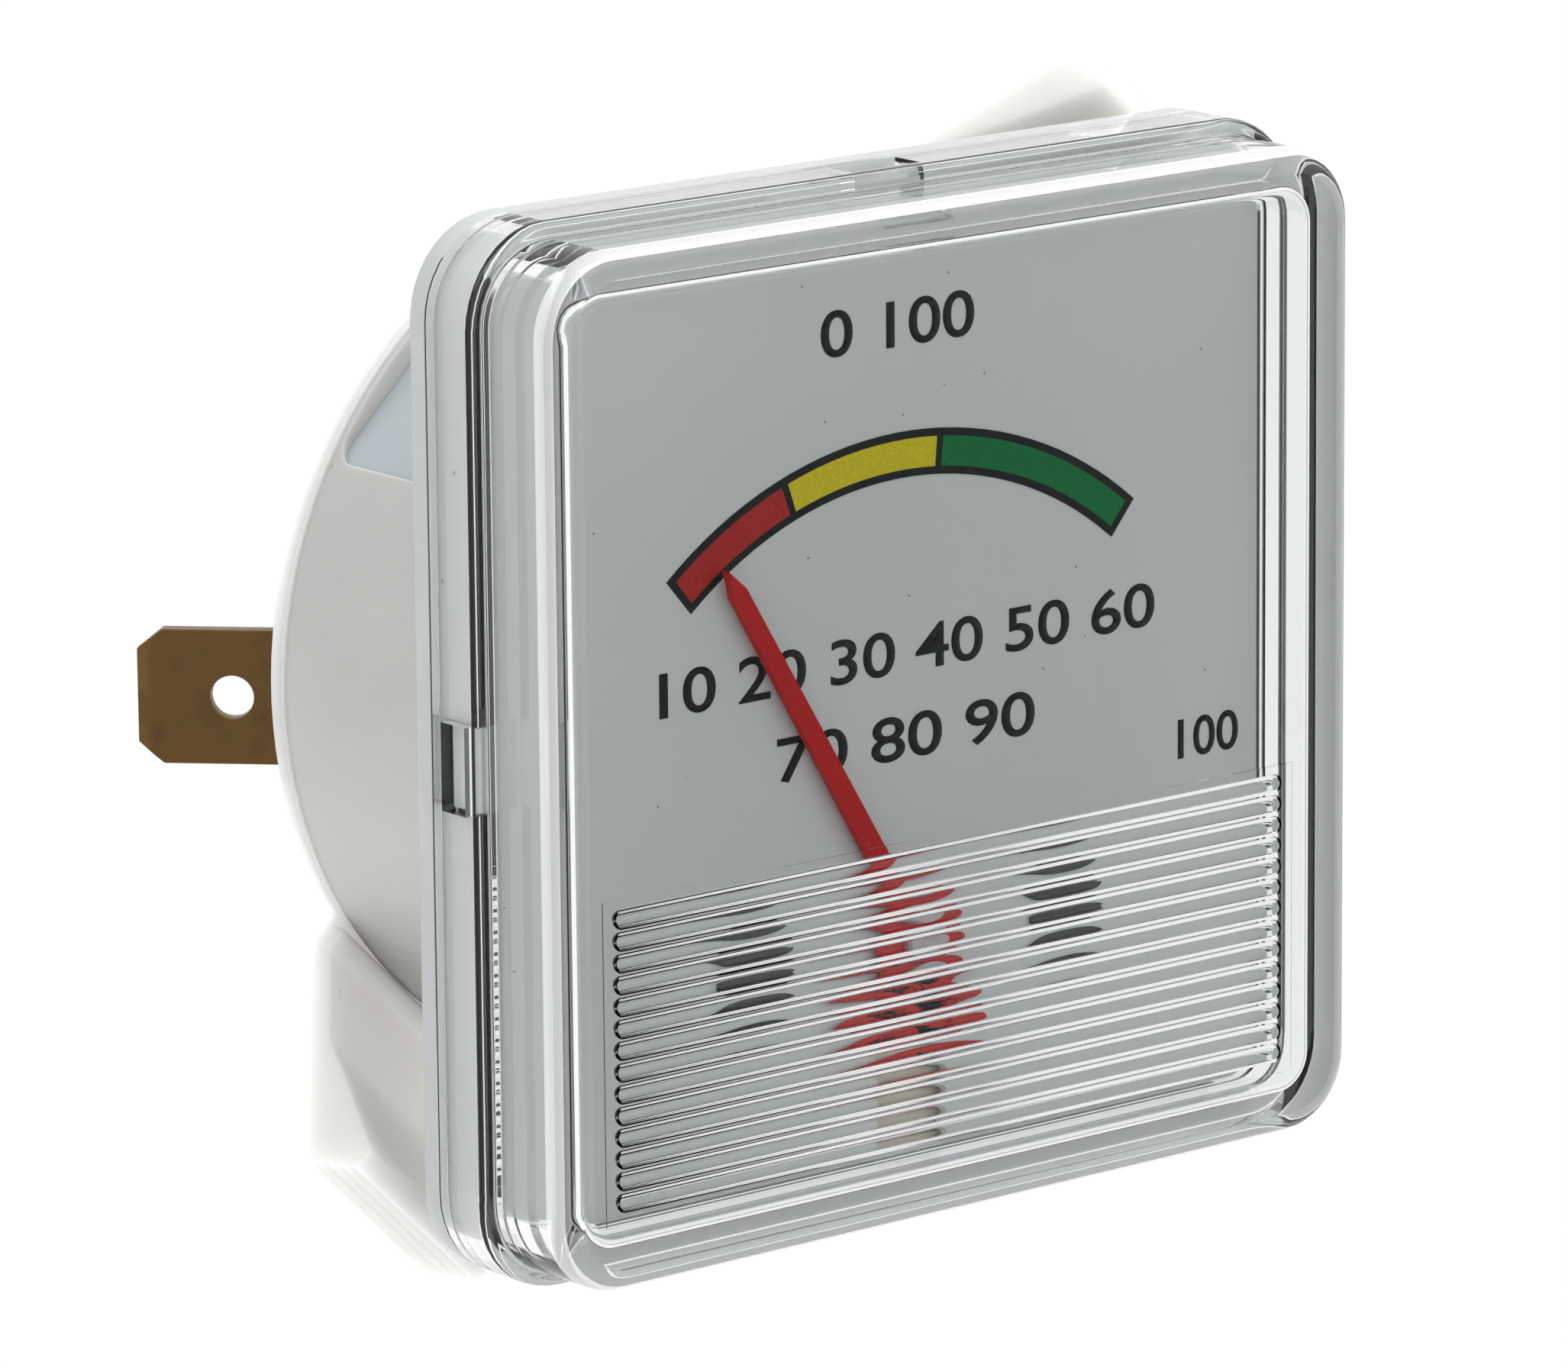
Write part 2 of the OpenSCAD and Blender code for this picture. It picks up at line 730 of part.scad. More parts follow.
module magnet_yoke() {
    color([0.5, 0.51, 0.54]) at_pivot() slab(core_y, core_back_y) ring(yoke_outer_r, yoke_inner_r);
}

frame_screw_r = 0.9;
module movement_frame() {
    boss = 2;
    color([0.86, 0.82, 0.74]) intersection() {
        difference() {
            union() {
                at_pivot() slab(frame_front_y, rear_bridge_y) ring(frame_outer_r, frame_inner_r);
                for (x = [-frame_screw_x, frame_screw_x])
                    rod(x, frame_screw_z, boss, core_y + 3, rear_inner_y);
            }
            rod(0, pivot_z, frame_inner_r, frame_front_y - cut, rear_bridge_y + cut);
            for (x = [-screw_x, screw_x]) {
                rod(x, pivot_z, shank_r + run, frame_front_y - cut, frame_front_y + 2);
                rod(x, pivot_z, shank_r + run, rear_bridge_y - 3, rear_bridge_y + cut);
            }
            for (x = [-frame_screw_x, frame_screw_x])
                rod(x, frame_screw_z, frame_screw_r + run, rear_inner_y - 4, rear_inner_y + cut);
        }
        rod(0, 0, drum_inner_r - play, frame_front_y - cut, rear_inner_y + cut);
    }
}

module frame_screws() {
    head_r = 1.75;
    head_h = 1.1;
    color([0.66, 0.67, 0.69]) for (x = [-frame_screw_x, frame_screw_x]) {
        rod(x, frame_screw_z, frame_screw_r, rear_inner_y - 3.5, drum_depth + 0.3);
        difference() {
            rod(x, frame_screw_z, head_r, drum_depth, drum_depth + head_h);
            for (a = [0, 90]) translate([x, drum_depth + head_h, frame_screw_z]) rotate([0, a, 0])
                cube([2.2, 1, 0.45], center = true);
        }
    }
}

// ---------- electronics ----------

module circuit_board() {
    color([0.2, 0.42, 0.28]) slab(board_y, board_y + board_t) difference() {
        translate([-board_w / 2, board_z - board_h / 2]) square([board_w, board_h]);
        for (x = [-part_x, part_x], z = [resistor_z, zener_z]) translate([x, z]) circle(0.4, $fn = 24);
    }
}

// A part with a wire at each end, lying along X in front of the board
module axial_part(r, length, z) {
    y = board_y - r;
    translate([-length / 2, y, z]) rotate([0, 90, 0]) cylinder(r = r, h = length, $fn = 48);
    wire([[-part_x, board_y + board_t + 0.4, z], [-part_x, y, z], [part_x, y, z],
        [part_x, board_y + board_t + 0.4, z]], 0.3);
}

module series_resistor() {
    color([0.78, 0.68, 0.5]) axial_part(resistor_r, 6.3, resistor_z);
}

module zener_diode() {
    color([0.75, 0.35, 0.2]) axial_part(zener_r, 4, zener_z);
}

// A wire from a rivet's inner head to the back of the board
module lead(side) {
    turn_y = rivet_head_y - 1.4;
    pad_x = board_w / 2 - 1.2;
    pad_z = board_z - board_h / 2 + 1;
    wire([[side * rivet_x, rivet_head_y, terminal_z], [side * rivet_x, turn_y, terminal_z],
        [side * rivet_x, turn_y, pad_z], [side * pad_x, turn_y, pad_z],
        [side * pad_x, board_y + board_t, pad_z]], lead_r);
}

module lead_left() {
    color([0.1, 0.1, 0.11]) lead(-1);
}

module lead_right() {
    color([0.7, 0.1, 0.1]) lead(1);
}

// ---------- terminals ----------

rivet_r = 1.45;
rivet_head_r = 2.2;
rivet_head_h = 0.7;
rivet_head_y = rear_inner_y - rivet_head_h;
tip_bevel = 0.75;

// Places its children on a blade: X from the bend to the tip, Y through the thickness
module on_blade() {
    translate([bend_x, drum_depth, terminal_z]) rotate([0, 0, blade_angle]) children();
}

// A point of the blade, seen from above
function blade_point(along, through) = [bend_x + along * cos(blade_angle) - through * sin(blade_angle),
    drum_depth + along * sin(blade_angle) + through * cos(blade_angle)];

// The terminal seen from above, with the tip's bevels
module terminal_profile() {
    inner_bend = blade_t * tan(blade_angle / 2);
    base_x = rivet_x - rivet_head_r - 0.4;
    bevel_start = blade_len - tip_bevel;
    bevel = blade_t * 0.25;
    polygon([[base_x, drum_depth], [bend_x, drum_depth], blade_point(bevel_start, 0),
        blade_point(blade_len, bevel), blade_point(blade_len, blade_t - bevel),
        blade_point(bevel_start, blade_t), [bend_x - inner_bend, drum_depth + blade_t],
        [base_x, drum_depth + blade_t]]);
}

module tip_corner() {
    edge = blade_w / 2;
    depth = tip_chamfer * 0.8;
    translate([0, blade_t + cut, 0]) rotate([90, 0, 0]) linear_extrude(blade_t + 2 * cut)
        polygon([[blade_len - 2 * tip_chamfer, edge + depth], [blade_len + tip_chamfer, edge - 2 * depth],
            [blade_len + tip_chamfer, edge + depth]]);
}

module terminal() {
    difference() {
        translate([0, 0, terminal_z - blade_w / 2]) linear_extrude(blade_w) terminal_profile();
        on_blade() for (side = [0, 1]) mirror([0, 0, side]) tip_corner();
        on_blade() rod(blade_hole_s, 0, blade_hole_r, -cut, blade_t + cut);
        rod(rivet_x, terminal_z, rivet_r + run, drum_depth - cut, drum_depth + blade_t + cut);
    }
}

module terminal_left() {
    color([0.68, 0.56, 0.3]) mirror([1, 0, 0]) terminal();
}

module terminal_right() {
    color([0.68, 0.56, 0.3]) terminal();
}

module terminal_rivets() {
    base_back = drum_depth + blade_t;
    color([0.74, 0.62, 0.36]) for (x = [-rivet_x, rivet_x]) {
        rod(x, terminal_z, rivet_r, rivet_head_y, base_back + 0.2);
        rod(x, terminal_z, rivet_head_r, rivet_head_y, rear_inner_y);
        rod(x, terminal_z, rivet_head_r, base_back, base_back + rivet_head_h);
    }
}

front_cover();
rear_frame();
housing();
mounting_clamp();
dial_plate();
scale_outline();
scale_red();
scale_yellow();
scale_green();
dial_screws();
dial_posts();
pointer();
pointer_collet();
balance_weight();
front_staff();
rear_staff();
coil_former();
moving_coil();
front_hairspring();
rear_hairspring();
front_bridge();
front_bush();
rear_bridge();
rear_jewel_screw();
bridge_screws();
zero_lever();
stop_pins();
core_magnet();
core_bracket();
magnet_yoke();
movement_frame();
frame_screws();
circuit_board();
series_resistor();
zener_diode();
lead_left();
lead_right();
terminal_left();
terminal_right();
terminal_rivets();
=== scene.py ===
"""Square battery condition meter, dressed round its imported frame.

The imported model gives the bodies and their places. Each sub-assembly below is a
class that builds the meshes it needs and gives every piece its finish.
"""

import json
import logging
import math
from dataclasses import dataclass, field
from enum import Enum
from typing import Any, Callable, Iterable, Optional, Union

import bmesh
import bpy
from mathutils import Matrix, Vector

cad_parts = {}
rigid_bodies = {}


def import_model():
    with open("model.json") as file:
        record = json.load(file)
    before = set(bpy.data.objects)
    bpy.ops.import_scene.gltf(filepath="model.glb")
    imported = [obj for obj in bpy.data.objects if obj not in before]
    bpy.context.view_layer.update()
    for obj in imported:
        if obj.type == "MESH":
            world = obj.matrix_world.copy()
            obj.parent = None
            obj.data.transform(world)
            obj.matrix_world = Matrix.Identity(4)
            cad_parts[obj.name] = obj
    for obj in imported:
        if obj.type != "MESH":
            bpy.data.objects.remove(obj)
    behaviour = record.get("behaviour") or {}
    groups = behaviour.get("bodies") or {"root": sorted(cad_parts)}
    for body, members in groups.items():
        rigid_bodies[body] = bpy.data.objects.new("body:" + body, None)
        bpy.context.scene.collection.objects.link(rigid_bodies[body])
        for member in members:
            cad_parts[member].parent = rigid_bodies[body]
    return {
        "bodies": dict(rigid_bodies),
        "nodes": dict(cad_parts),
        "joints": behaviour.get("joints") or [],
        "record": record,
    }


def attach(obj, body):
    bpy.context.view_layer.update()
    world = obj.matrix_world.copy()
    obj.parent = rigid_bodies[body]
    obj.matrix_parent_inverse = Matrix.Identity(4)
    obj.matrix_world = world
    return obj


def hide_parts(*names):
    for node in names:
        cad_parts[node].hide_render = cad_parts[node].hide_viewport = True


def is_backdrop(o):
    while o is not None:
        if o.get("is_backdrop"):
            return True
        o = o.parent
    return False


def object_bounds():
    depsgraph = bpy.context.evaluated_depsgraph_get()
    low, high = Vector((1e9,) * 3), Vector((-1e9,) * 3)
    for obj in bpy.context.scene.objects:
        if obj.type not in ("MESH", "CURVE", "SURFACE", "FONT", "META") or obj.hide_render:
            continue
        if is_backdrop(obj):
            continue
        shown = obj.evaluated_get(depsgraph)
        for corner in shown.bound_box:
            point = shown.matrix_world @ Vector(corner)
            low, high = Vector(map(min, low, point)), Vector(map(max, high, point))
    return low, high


LOG = logging.getLogger("battery_meter")
MM = 0.001
Number = Union[int, float]
Colour = tuple[float, float, float]
Point = tuple[float, float, float]

# Colour of the painted glow, a pale line standing in for light carried by the window's edge.
PAINTED_GLOW_WHITE: Colour = (0.92, 0.93, 0.93)
MERGE_MM = 0.0008  # vertices of a CAD mesh nearer than this are one
FLAT_DEG = 0.5  # faces that meet at less than this are one
EDGE_DEG = 28.0  # edges sharper than this are rounded
SMOOTH_DEG = 40.0  # edges duller than this shade smooth


class Body(Enum):
    """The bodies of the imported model."""

    CASE = "case"
    MOVEMENT = "movement"
    ZERO = "zero_adjuster"
    CLAMP = "clamp"


class Cut(Enum):
    """How one closed mesh acts on another."""

    JOIN = "UNION"
    REMOVE = "DIFFERENCE"


# ---------------------------------------------------------------- shader maths


class Signal:
    """One output socket of a recipe's node, on which Python's operators work."""

    def __init__(self, recipe: "Recipe", socket: bpy.types.NodeSocket) -> None:
        """Keeps the recipe and the socket.

        Args:
            recipe: The material or world that the socket belongs to.
            socket: The output socket.
        """
        self.recipe = recipe
        self.socket = socket

    def _op(self, name: str, a: Any, b: Any = 0.0) -> "Signal":
        """Adds one Math node.

        Args:
            name: The node's operation.
            a: First value or Signal.
            b: Second value or Signal.

        Returns:
            The result.
        """
        return self.recipe.math(name, a, b)

    def __add__(self, other: Any) -> "Signal":
        """Sum."""
        return self._op("ADD", self, other)

    def __radd__(self, other: Any) -> "Signal":
        """Sum, reflected."""
        return self._op("ADD", other, self)

    def __sub__(self, other: Any) -> "Signal":
        """Difference."""
        return self._op("SUBTRACT", self, other)

    def __rsub__(self, other: Any) -> "Signal":
        """Difference, reflected."""
        return self._op("SUBTRACT", other, self)

    def __mul__(self, other: Any) -> "Signal":
        """Product."""
        return self._op("MULTIPLY", self, other)

    def __rmul__(self, other: Any) -> "Signal":
        """Product, reflected."""
        return self._op("MULTIPLY", other, self)

    def __gt__(self, other: Any) -> "Signal":
        """1 where this is greater, 0 elsewhere."""
        return self._op("GREATER_THAN", self, other)

    def __lt__(self, other: Any) -> "Signal":
        """1 where this is less, 0 elsewhere."""
        return self._op("LESS_THAN", self, other)

    def __abs__(self) -> "Signal":
        """Absolute value."""
        return self._op("ABSOLUTE", self)

    def clamped(self) -> "Signal":
        """The value held between 0 and 1."""
        return self._op("MINIMUM", self._op("MAXIMUM", self, 0.0), 1.0)


class Recipe:
    """Builds one node tree, for a material or for the world."""

    def __init__(self, tree: bpy.types.NodeTree) -> None:
        """Empties the tree.

        Args:
            tree: The node tree to fill.
        """
        self.tree = tree
        tree.nodes.clear()

    @classmethod
    def material(cls, name: str) -> tuple["Recipe", bpy.types.Material]:
        """Starts a new material.

        Args:
            name: The material's name.

        Returns:
            The recipe and the material.
        """
        made = bpy.data.materials.new(name)
        made.use_nodes = True
        return cls(made.node_tree), made

    def node(
        self,
        kind: str,
        settings: Optional[dict[str, Any]] = None,
        inputs: Optional[dict[Union[str, int], Any]] = None,
    ) -> bpy.types.Node:
        """Adds a node.

        Args:
            kind: The node's type.
            settings: Its attributes, set first. "stops" fills a colour ramp.
            inputs: Socket name or number to a value or a Signal.

        Returns:
            The node.
        """
        made = self.tree.nodes.new(kind)
        for name, value in (settings or {}).items():
            if name == "stops":
                ramp = made.color_ramp.elements
                while len(ramp) < len(value):
                    ramp.new(0.5)
                for element, (place, colour) in zip(ramp, value):
                    element.position, element.color = place, (*colour, 1.0)
            else:
                setattr(made, name, value)
        for name, value in (inputs or {}).items():
            if isinstance(value, Signal):
                self.tree.links.new(value.socket, made.inputs[name])
            else:
                made.inputs[name].default_value = value
        return made

    def out(self, kind: str, output: Union[str, int] = 0, **parts: Any) -> Signal:
        """Adds a node and takes one of its outputs.

        Args:
            kind: The node's type.
            output: Name or number of the output.
            **parts: settings and inputs, as node() takes them.

        Returns:
            The output as a Signal.
        """
        return Signal(self, self.node(kind, **parts).outputs[output])

    def math(self, operation: str, a: Any, b: Any = 0.0) -> Signal:
        """Adds a Math node.

        Args:
            operation: The node's operation.
            a: First value or Signal.
            b: Second value or Signal.

        Returns:
            The result.
        """
        return self.out("ShaderNodeMath", settings={"operation": operation}, inputs={0: a, 1: b})

    def place(self) -> Signal:
        """Object coordinates."""
        return self.out("ShaderNodeTexCoord", "Object")

    def turned(self, scale: Colour, rotation: Colour = (0.0, 0.0, 0.0)) -> Signal:
        """Object coordinates through a Mapping node.

        Args:
            scale: Scale on each axis.
            rotation: Turn about each axis, in radians.

        Returns:
            The coordinates.
        """
        return self.out(
            "ShaderNodeMapping", inputs={"Vector": self.place(), "Rotation": rotation, "Scale": scale}
        )

    def axes(self) -> tuple[Signal, Signal, Signal]:
        """Object X, Y and Z in millimetres."""
        split = self.node("ShaderNodeSeparateXYZ", inputs={0: self.place()})
        x, y, z = (Signal(self, split.outputs[i]) * (1 / MM) for i in range(3))
        return x, y, z

    def noise(self, size_mm: Number, detail: Number = 3.0, vector: Optional[Signal] = None) -> Signal:
        """A noise whose features are about a given size.

        Args:
            size_mm: Size of the features in millimetres.
            detail: The noise's detail.
            vector: Coordinates, if not Object coordinates.

        Returns:
            Values from 0 to 1, most near 0.5.
        """
        return self.out(
            "ShaderNodeTexNoise",
            "Fac",
            inputs={"Vector": vector or self.place(), "Scale": 1.0 / (size_mm * MM), "Detail": detail},
        )

    def specks(self, spacing_mm: Number, reach: Number) -> Signal:
        """1 in small round spots, 0 elsewhere.

        Args:
            spacing_mm: Typical distance between spots.
            reach: Radius of a spot as a share of the spacing.

        Returns:
            The mask.
        """
        distance = self.out(
            "ShaderNodeTexVoronoi",
            "Distance",
            inputs={"Vector": self.place(), "Scale": 1.0 / (spacing_mm * MM)},
        )
        return distance < reach

    def blend(self, share: Any, a: Any, b: Any) -> Signal:
        """Mixes two colours.

        Args:
            share: 0 for a, 1 for b.
            a: Colour or Signal.
            b: Colour or Signal.

        Returns:
            The mixed colour.
        """
        pair = [(*c, 1.0) if isinstance(c, tuple) else c for c in (a, b)]
        return self.out(
            "ShaderNodeMix", 2, settings={"data_type": "RGBA"}, inputs={0: share, 6: pair[0], 7: pair[1]}
        )

    def bump(self, height: Signal, depth_mm: Number, strength: Number = 1.0) -> Signal:
        """A normal from a height.

        Args:
            height: The height, 0 to 1.
            depth_mm: What a height of 1 stands for.
            strength: The Bump node's strength.

        Returns:
            The normal.
        """
        return self.out(
            "ShaderNodeBump",
            inputs={"Height": height, "Distance": depth_mm * MM, "Strength": strength},
        )

    def surface(self, painted_glow: Optional[Signal] = None, **inputs: Any) -> None:
        """Ends the tree in a Principled shader.

        Args:
            painted_glow: Share of the surface that is dull white instead, if any: a painted glow that
                stands in for light.
            **inputs: Socket names, with underscores for spaces, and their values.
        """
        values = {name.replace("_", " "): value for name, value in inputs.items()}
        for name, value in values.items():
            if isinstance(value, tuple) and len(value) == 3 and name != "Subsurface Radius":
                values[name] = (*value, 1.0)
        shader = self.out("ShaderNodeBsdfPrincipled", inputs=values)
        if painted_glow is not None:
            # Dull white mixed in as a painted glow, standing in for light.
            dull = self.out("ShaderNodeBsdfDiffuse", inputs={"Color": (*PAINTED_GLOW_WHITE, 1.0)})
            shader = self.out("ShaderNodeMixShader", inputs={0: painted_glow, 1: shader, 2: dull})
        self.node("ShaderNodeOutputMaterial", inputs={"Surface": shader})


# -------------------------------------------------------------------- finishes


@dataclass(frozen=True)
class ClearStyrene:
    """Clear glossy moulding of the cover and its frame."""

    slot: str = "clear_styrene"
    tint: Colour = (0.965, 0.975, 0.977)
    index: float = 1.49
    clarity: float = 1.0
    corner_core: float = 19.6
    side_arm: float = 3.3
    # Y span and share of the painted glow line on the front tier's side.
    painted_glow_front_y: float = -8.78
    painted_glow_back_y: float = -7.85
    painted_glow_share: float = 0.5

    def _painted_glow_line(self, recipe: Recipe) -> Signal:
        """Painted light: a pale line painted round the front tier's side, standing in for the light that
        the window's edge carries.

        Args:
            recipe: The recipe of the material.

        Returns:
            The line's share, 0 off it.
        """
        x, y, z = recipe.axes()
        out_x, out_z = ((abs(side) - self.corner_core) for side in (x, z))
        out_x, out_z = (recipe.math("MAXIMUM", side, 0.0) for side in (out_x, out_z))
        arm = recipe.math("SQRT", out_x * out_x + out_z * out_z)
        band = (y > self.painted_glow_front_y) * (y < self.painted_glow_back_y)
        return (arm > self.side_arm) * band * self.painted_glow_share

    def make(self) -> bpy.types.Material:
        """Builds the material.

        Returns:
            The material.
        """
        recipe, material = Recipe.material(self.slot)
        flow = recipe.noise(7.0, 1.0)
        dull = recipe.noise(2.5, 4.0)
        # The painted glow line is mixed in here as dull white.
        recipe.surface(
            painted_glow=self._painted_glow_line(recipe),
            Base_Color=self.tint,
            Roughness=0.012 + dull * 0.012,
            IOR=self.index,
            Transmission_Weight=self.clarity,
            Normal=recipe.bump(flow, 0.012, 0.35),
        )
        return material


@dataclass(frozen=True)
class Nylon:
    """Translucent moulded nylon."""

    slot: str
    colour: Colour
    cloud: Colour
    depth_mm: float = 1.2
    # Painted light: lighter colour for the housing's lower part, standing in for bounce light from the
    # clamp's leg.
    low: Colour = (0.53, 0.52, 0.5)
    # Painted shade: darker blue-grey for the recess flats, where the thin wall looks dark.
    thin: Colour = (0.39, 0.43, 0.455)
    recess_radius_mm: float = 0.0
    recess_turn: float = 46.0
    recess_half_mm: float = 5.72
    scatter: float = 0.6
    # Painted light: colour for the flange, painted near white because the clear cover holds its light back.
    flange_painted_light: Optional[Colour] = None
    flange_back_y: float = -1.0
    speck: Colour = (0.22, 0.2, 0.18)

    def _recess_shade(self, recipe: Recipe) -> Signal:
        """1 on the flats of the side recesses, where the wall is thin; painted shade goes there.

        Args:
            recipe: The recipe of the material.

        Returns:
            The mask.
        """
        x, _, z = recipe.axes()
        c, s = math.cos(math.radians(self.recess_turn)), math.sin(math.radians(self.recess_turn))
        on_flat = abs(abs(z * s - x * c) - self.recess_radius_mm) < 0.04
        return on_flat * (abs(x * s + z * c) < self.recess_half_mm)

    def make(self) -> bpy.types.Material:
        """Builds the material.

        Returns:
            The material.
        """
        recipe, material = Recipe.material(self.slot)
        clouds = recipe.noise(9.0, 2.0)
        grain = recipe.noise(0.25, 3.0)
        colour = recipe.blend(((clouds - 0.35) * 2.2).clamped(), self.colour, self.cloud)
        if self.recess_radius_mm:
            _, _, z = recipe.axes()
            # Painted light: lighter towards the bottom, below z = 2 mm.
            colour = recipe.blend(((2.0 - z) * 0.05).clamped(), colour, self.low)
            # Painted shade on the recess flats.
            colour = recipe.blend(self._recess_shade(recipe), colour, self.thin)
        # Painted light: the flange in front of flange_back_y is painted near white.
        if self.flange_painted_light:
            _, y, _ = recipe.axes()
            colour = recipe.blend(y < self.flange_back_y, colour, self.flange_painted_light)
        specks = recipe.specks(3.1, 0.035)
        colour = recipe.blend(specks * 0.5, colour, self.speck)
        recipe.surface(
            Base_Color=colour,
            Roughness=0.36 + grain * 0.12,
            IOR=1.53,
            Subsurface_Weight=self.scatter,
            Subsurface_Radius=(1.0, 0.95, 0.9),
            Subsurface_Scale=self.depth_mm * MM,
            Normal=recipe.bump(grain, 0.01, 0.4),
        )
        return material


@dataclass(frozen=True)
class DialPaint:
    """Satin grey paint on the dial plate."""

    slot: str = "dial_paint"
    colour: Colour = (0.70, 0.735, 0.735)
    lighter: Colour = (0.735, 0.77, 0.768)
    speck: Colour = (0.2, 0.21, 0.21)

    def make(self) -> bpy.types.Material:
        """Builds the material.

        Returns:
            The material.
        """
        recipe, material = Recipe.material(self.slot)
        orange_peel = recipe.noise(0.22, 2.0)
        shade = recipe.noise(14.0, 1.0)
        colour = recipe.blend(((shade - 0.4) * 1.5).clamped(), self.colour, self.lighter)
        recipe.surface(
            Base_Color=recipe.blend(recipe.specks(1.9, 0.03), colour, self.speck),
            Roughness=0.42 + orange_peel * 0.1,
            Normal=recipe.bump(orange_peel, 0.004, 0.5),
        )
        return material


@dataclass(frozen=True)
class Ink:
    """Screen-printed ink."""

    slot: str
    colour: Colour

    def make(self) -> bpy.types.Material:
        """Builds the material.

        Returns:
            The material.
        """
        recipe, material = Recipe.material(self.slot)
        weave = recipe.noise(0.12, 2.0)
        worn = tuple(min(1.0, c * 1.25 + 0.01) for c in self.colour)
        recipe.surface(
            Base_Color=recipe.blend(((weave - 0.45) * 2.5).clamped(), self.colour, worn),
            Roughness=0.38 + weave * 0.15,
            Specular_IOR_Level=0.2,
            Normal=recipe.bump(weave, 0.003, 0.5),
        )
        return material


@dataclass(frozen=True)
class Lacquer:
    """Thin glossy colour over metal or plastic."""

    slot: str
    colour: Colour
    roughness: float = 0.32
    gloss: float = 0.5

    def make(self) -> bpy.types.Material:
        """Builds the material.

        Returns:
            The material.
        """
        recipe, material = Recipe.material(self.slot)
        peel = recipe.noise(0.3, 2.0)
        dust = recipe.specks(1.3, 0.05)
        lighter = tuple(min(1.0, c * 1.6 + 0.03) for c in self.colour)
        recipe.surface(
            Base_Color=recipe.blend(dust * 0.6, self.colour, lighter),
            Roughness=self.roughness + peel * 0.12,
            Coat_Weight=(peel * 0.2 + 0.3) * self.gloss,
            Specular_IOR_Level=self.gloss,
            Coat_Roughness=0.12,
            Normal=recipe.bump(peel, 0.006, 0.4),
        )
        return material


@dataclass(frozen=True)
class Metal:
    """Bare metal with fine streaks and a few stains."""

    slot: str
    colour: Colour
    stain: Colour
    roughness: float = 0.3
    streak: Colour = (1.0, 1.0, 12.0)
    turn: Colour = (0.0, 0.0, 0.0)

    def make(self) -> bpy.types.Material:
        """Builds the material.

        Returns:
            The material.
        """
        recipe, material = Recipe.material(self.slot)
        streaks = recipe.noise(0.9, 3.0, recipe.turned(self.streak, self.turn))
        blotch = recipe.noise(1.6, 3.0)
        tarnish = ((blotch - 0.5) * 4.0).clamped()
        recipe.surface(
            Base_Color=recipe.blend(tarnish * 0.7, self.colour, self.stain),
            Metallic=1.0 - tarnish * 0.15,
            Roughness=self.roughness + streaks * 0.16 + tarnish * 0.1,
            Normal=recipe.bump(streaks, 0.006, 0.6),
        )
        return material


@dataclass(frozen=True)
class Winding:
    """Enamelled wire, laid turn by turn."""

    slot: str = "copper"
    colour: Colour = (0.55, 0.22, 0.08)
    pitch_mm: float = 0.12
    turn_deg: float = 30.7
    waves_per_scale: float = 3.14

    def make(self) -> bpy.types.Material:
        """Builds the material.

        Returns:
            The material.
        """
        recipe, material = Recipe.material(self.slot)
        wires = recipe.out(
            "ShaderNodeTexWave",
            "Fac",
            settings={"bands_direction": "X"},
            inputs={
                "Vector": recipe.turned((1.0, 1.0, 1.0), (0.0, math.radians(self.turn_deg), 0.0)),
                "Scale": 1.0 / (self.pitch_mm * MM * self.waves_per_scale),
                "Distortion": 0.6,
            },
        )
        # Painted shade: darker in the grooves between the wire turns.
        dark = tuple(c * 0.45 for c in self.colour)
        recipe.surface(
            Base_Color=recipe.blend(wires, dark, self.colour),
            Metallic=0.85,
            Roughness=0.42 - wires * 0.12,
            Normal=recipe.bump(wires, 0.05, 0.7),
        )
        return material


@dataclass(frozen=True)
class Board:
    """Glass-fibre laminate with a solder mask."""

    slot: str = "board_laminate"
    colour: Colour = (0.035, 0.16, 0.07)
    fibre_colour: Colour = (0.07, 0.24, 0.11)

    def make(self) -> bpy.types.Material:
        """Builds the material.

        Returns:
            The material.
        """
        recipe, material = Recipe.material(self.slot)
        fibre = recipe.noise(0.35, 3.0, recipe.turned((4.0, 1.0, 1.0)))
        recipe.surface(
            Base_Color=recipe.blend(fibre, self.colour, self.fibre_colour),
            Roughness=0.3 + fibre * 0.2,
            Normal=recipe.bump(fibre, 0.02, 0.4),
        )
        return material


HAZY_FRAME = ClearStyrene(tint=(0.9, 0.92, 0.925), clarity=0.6)

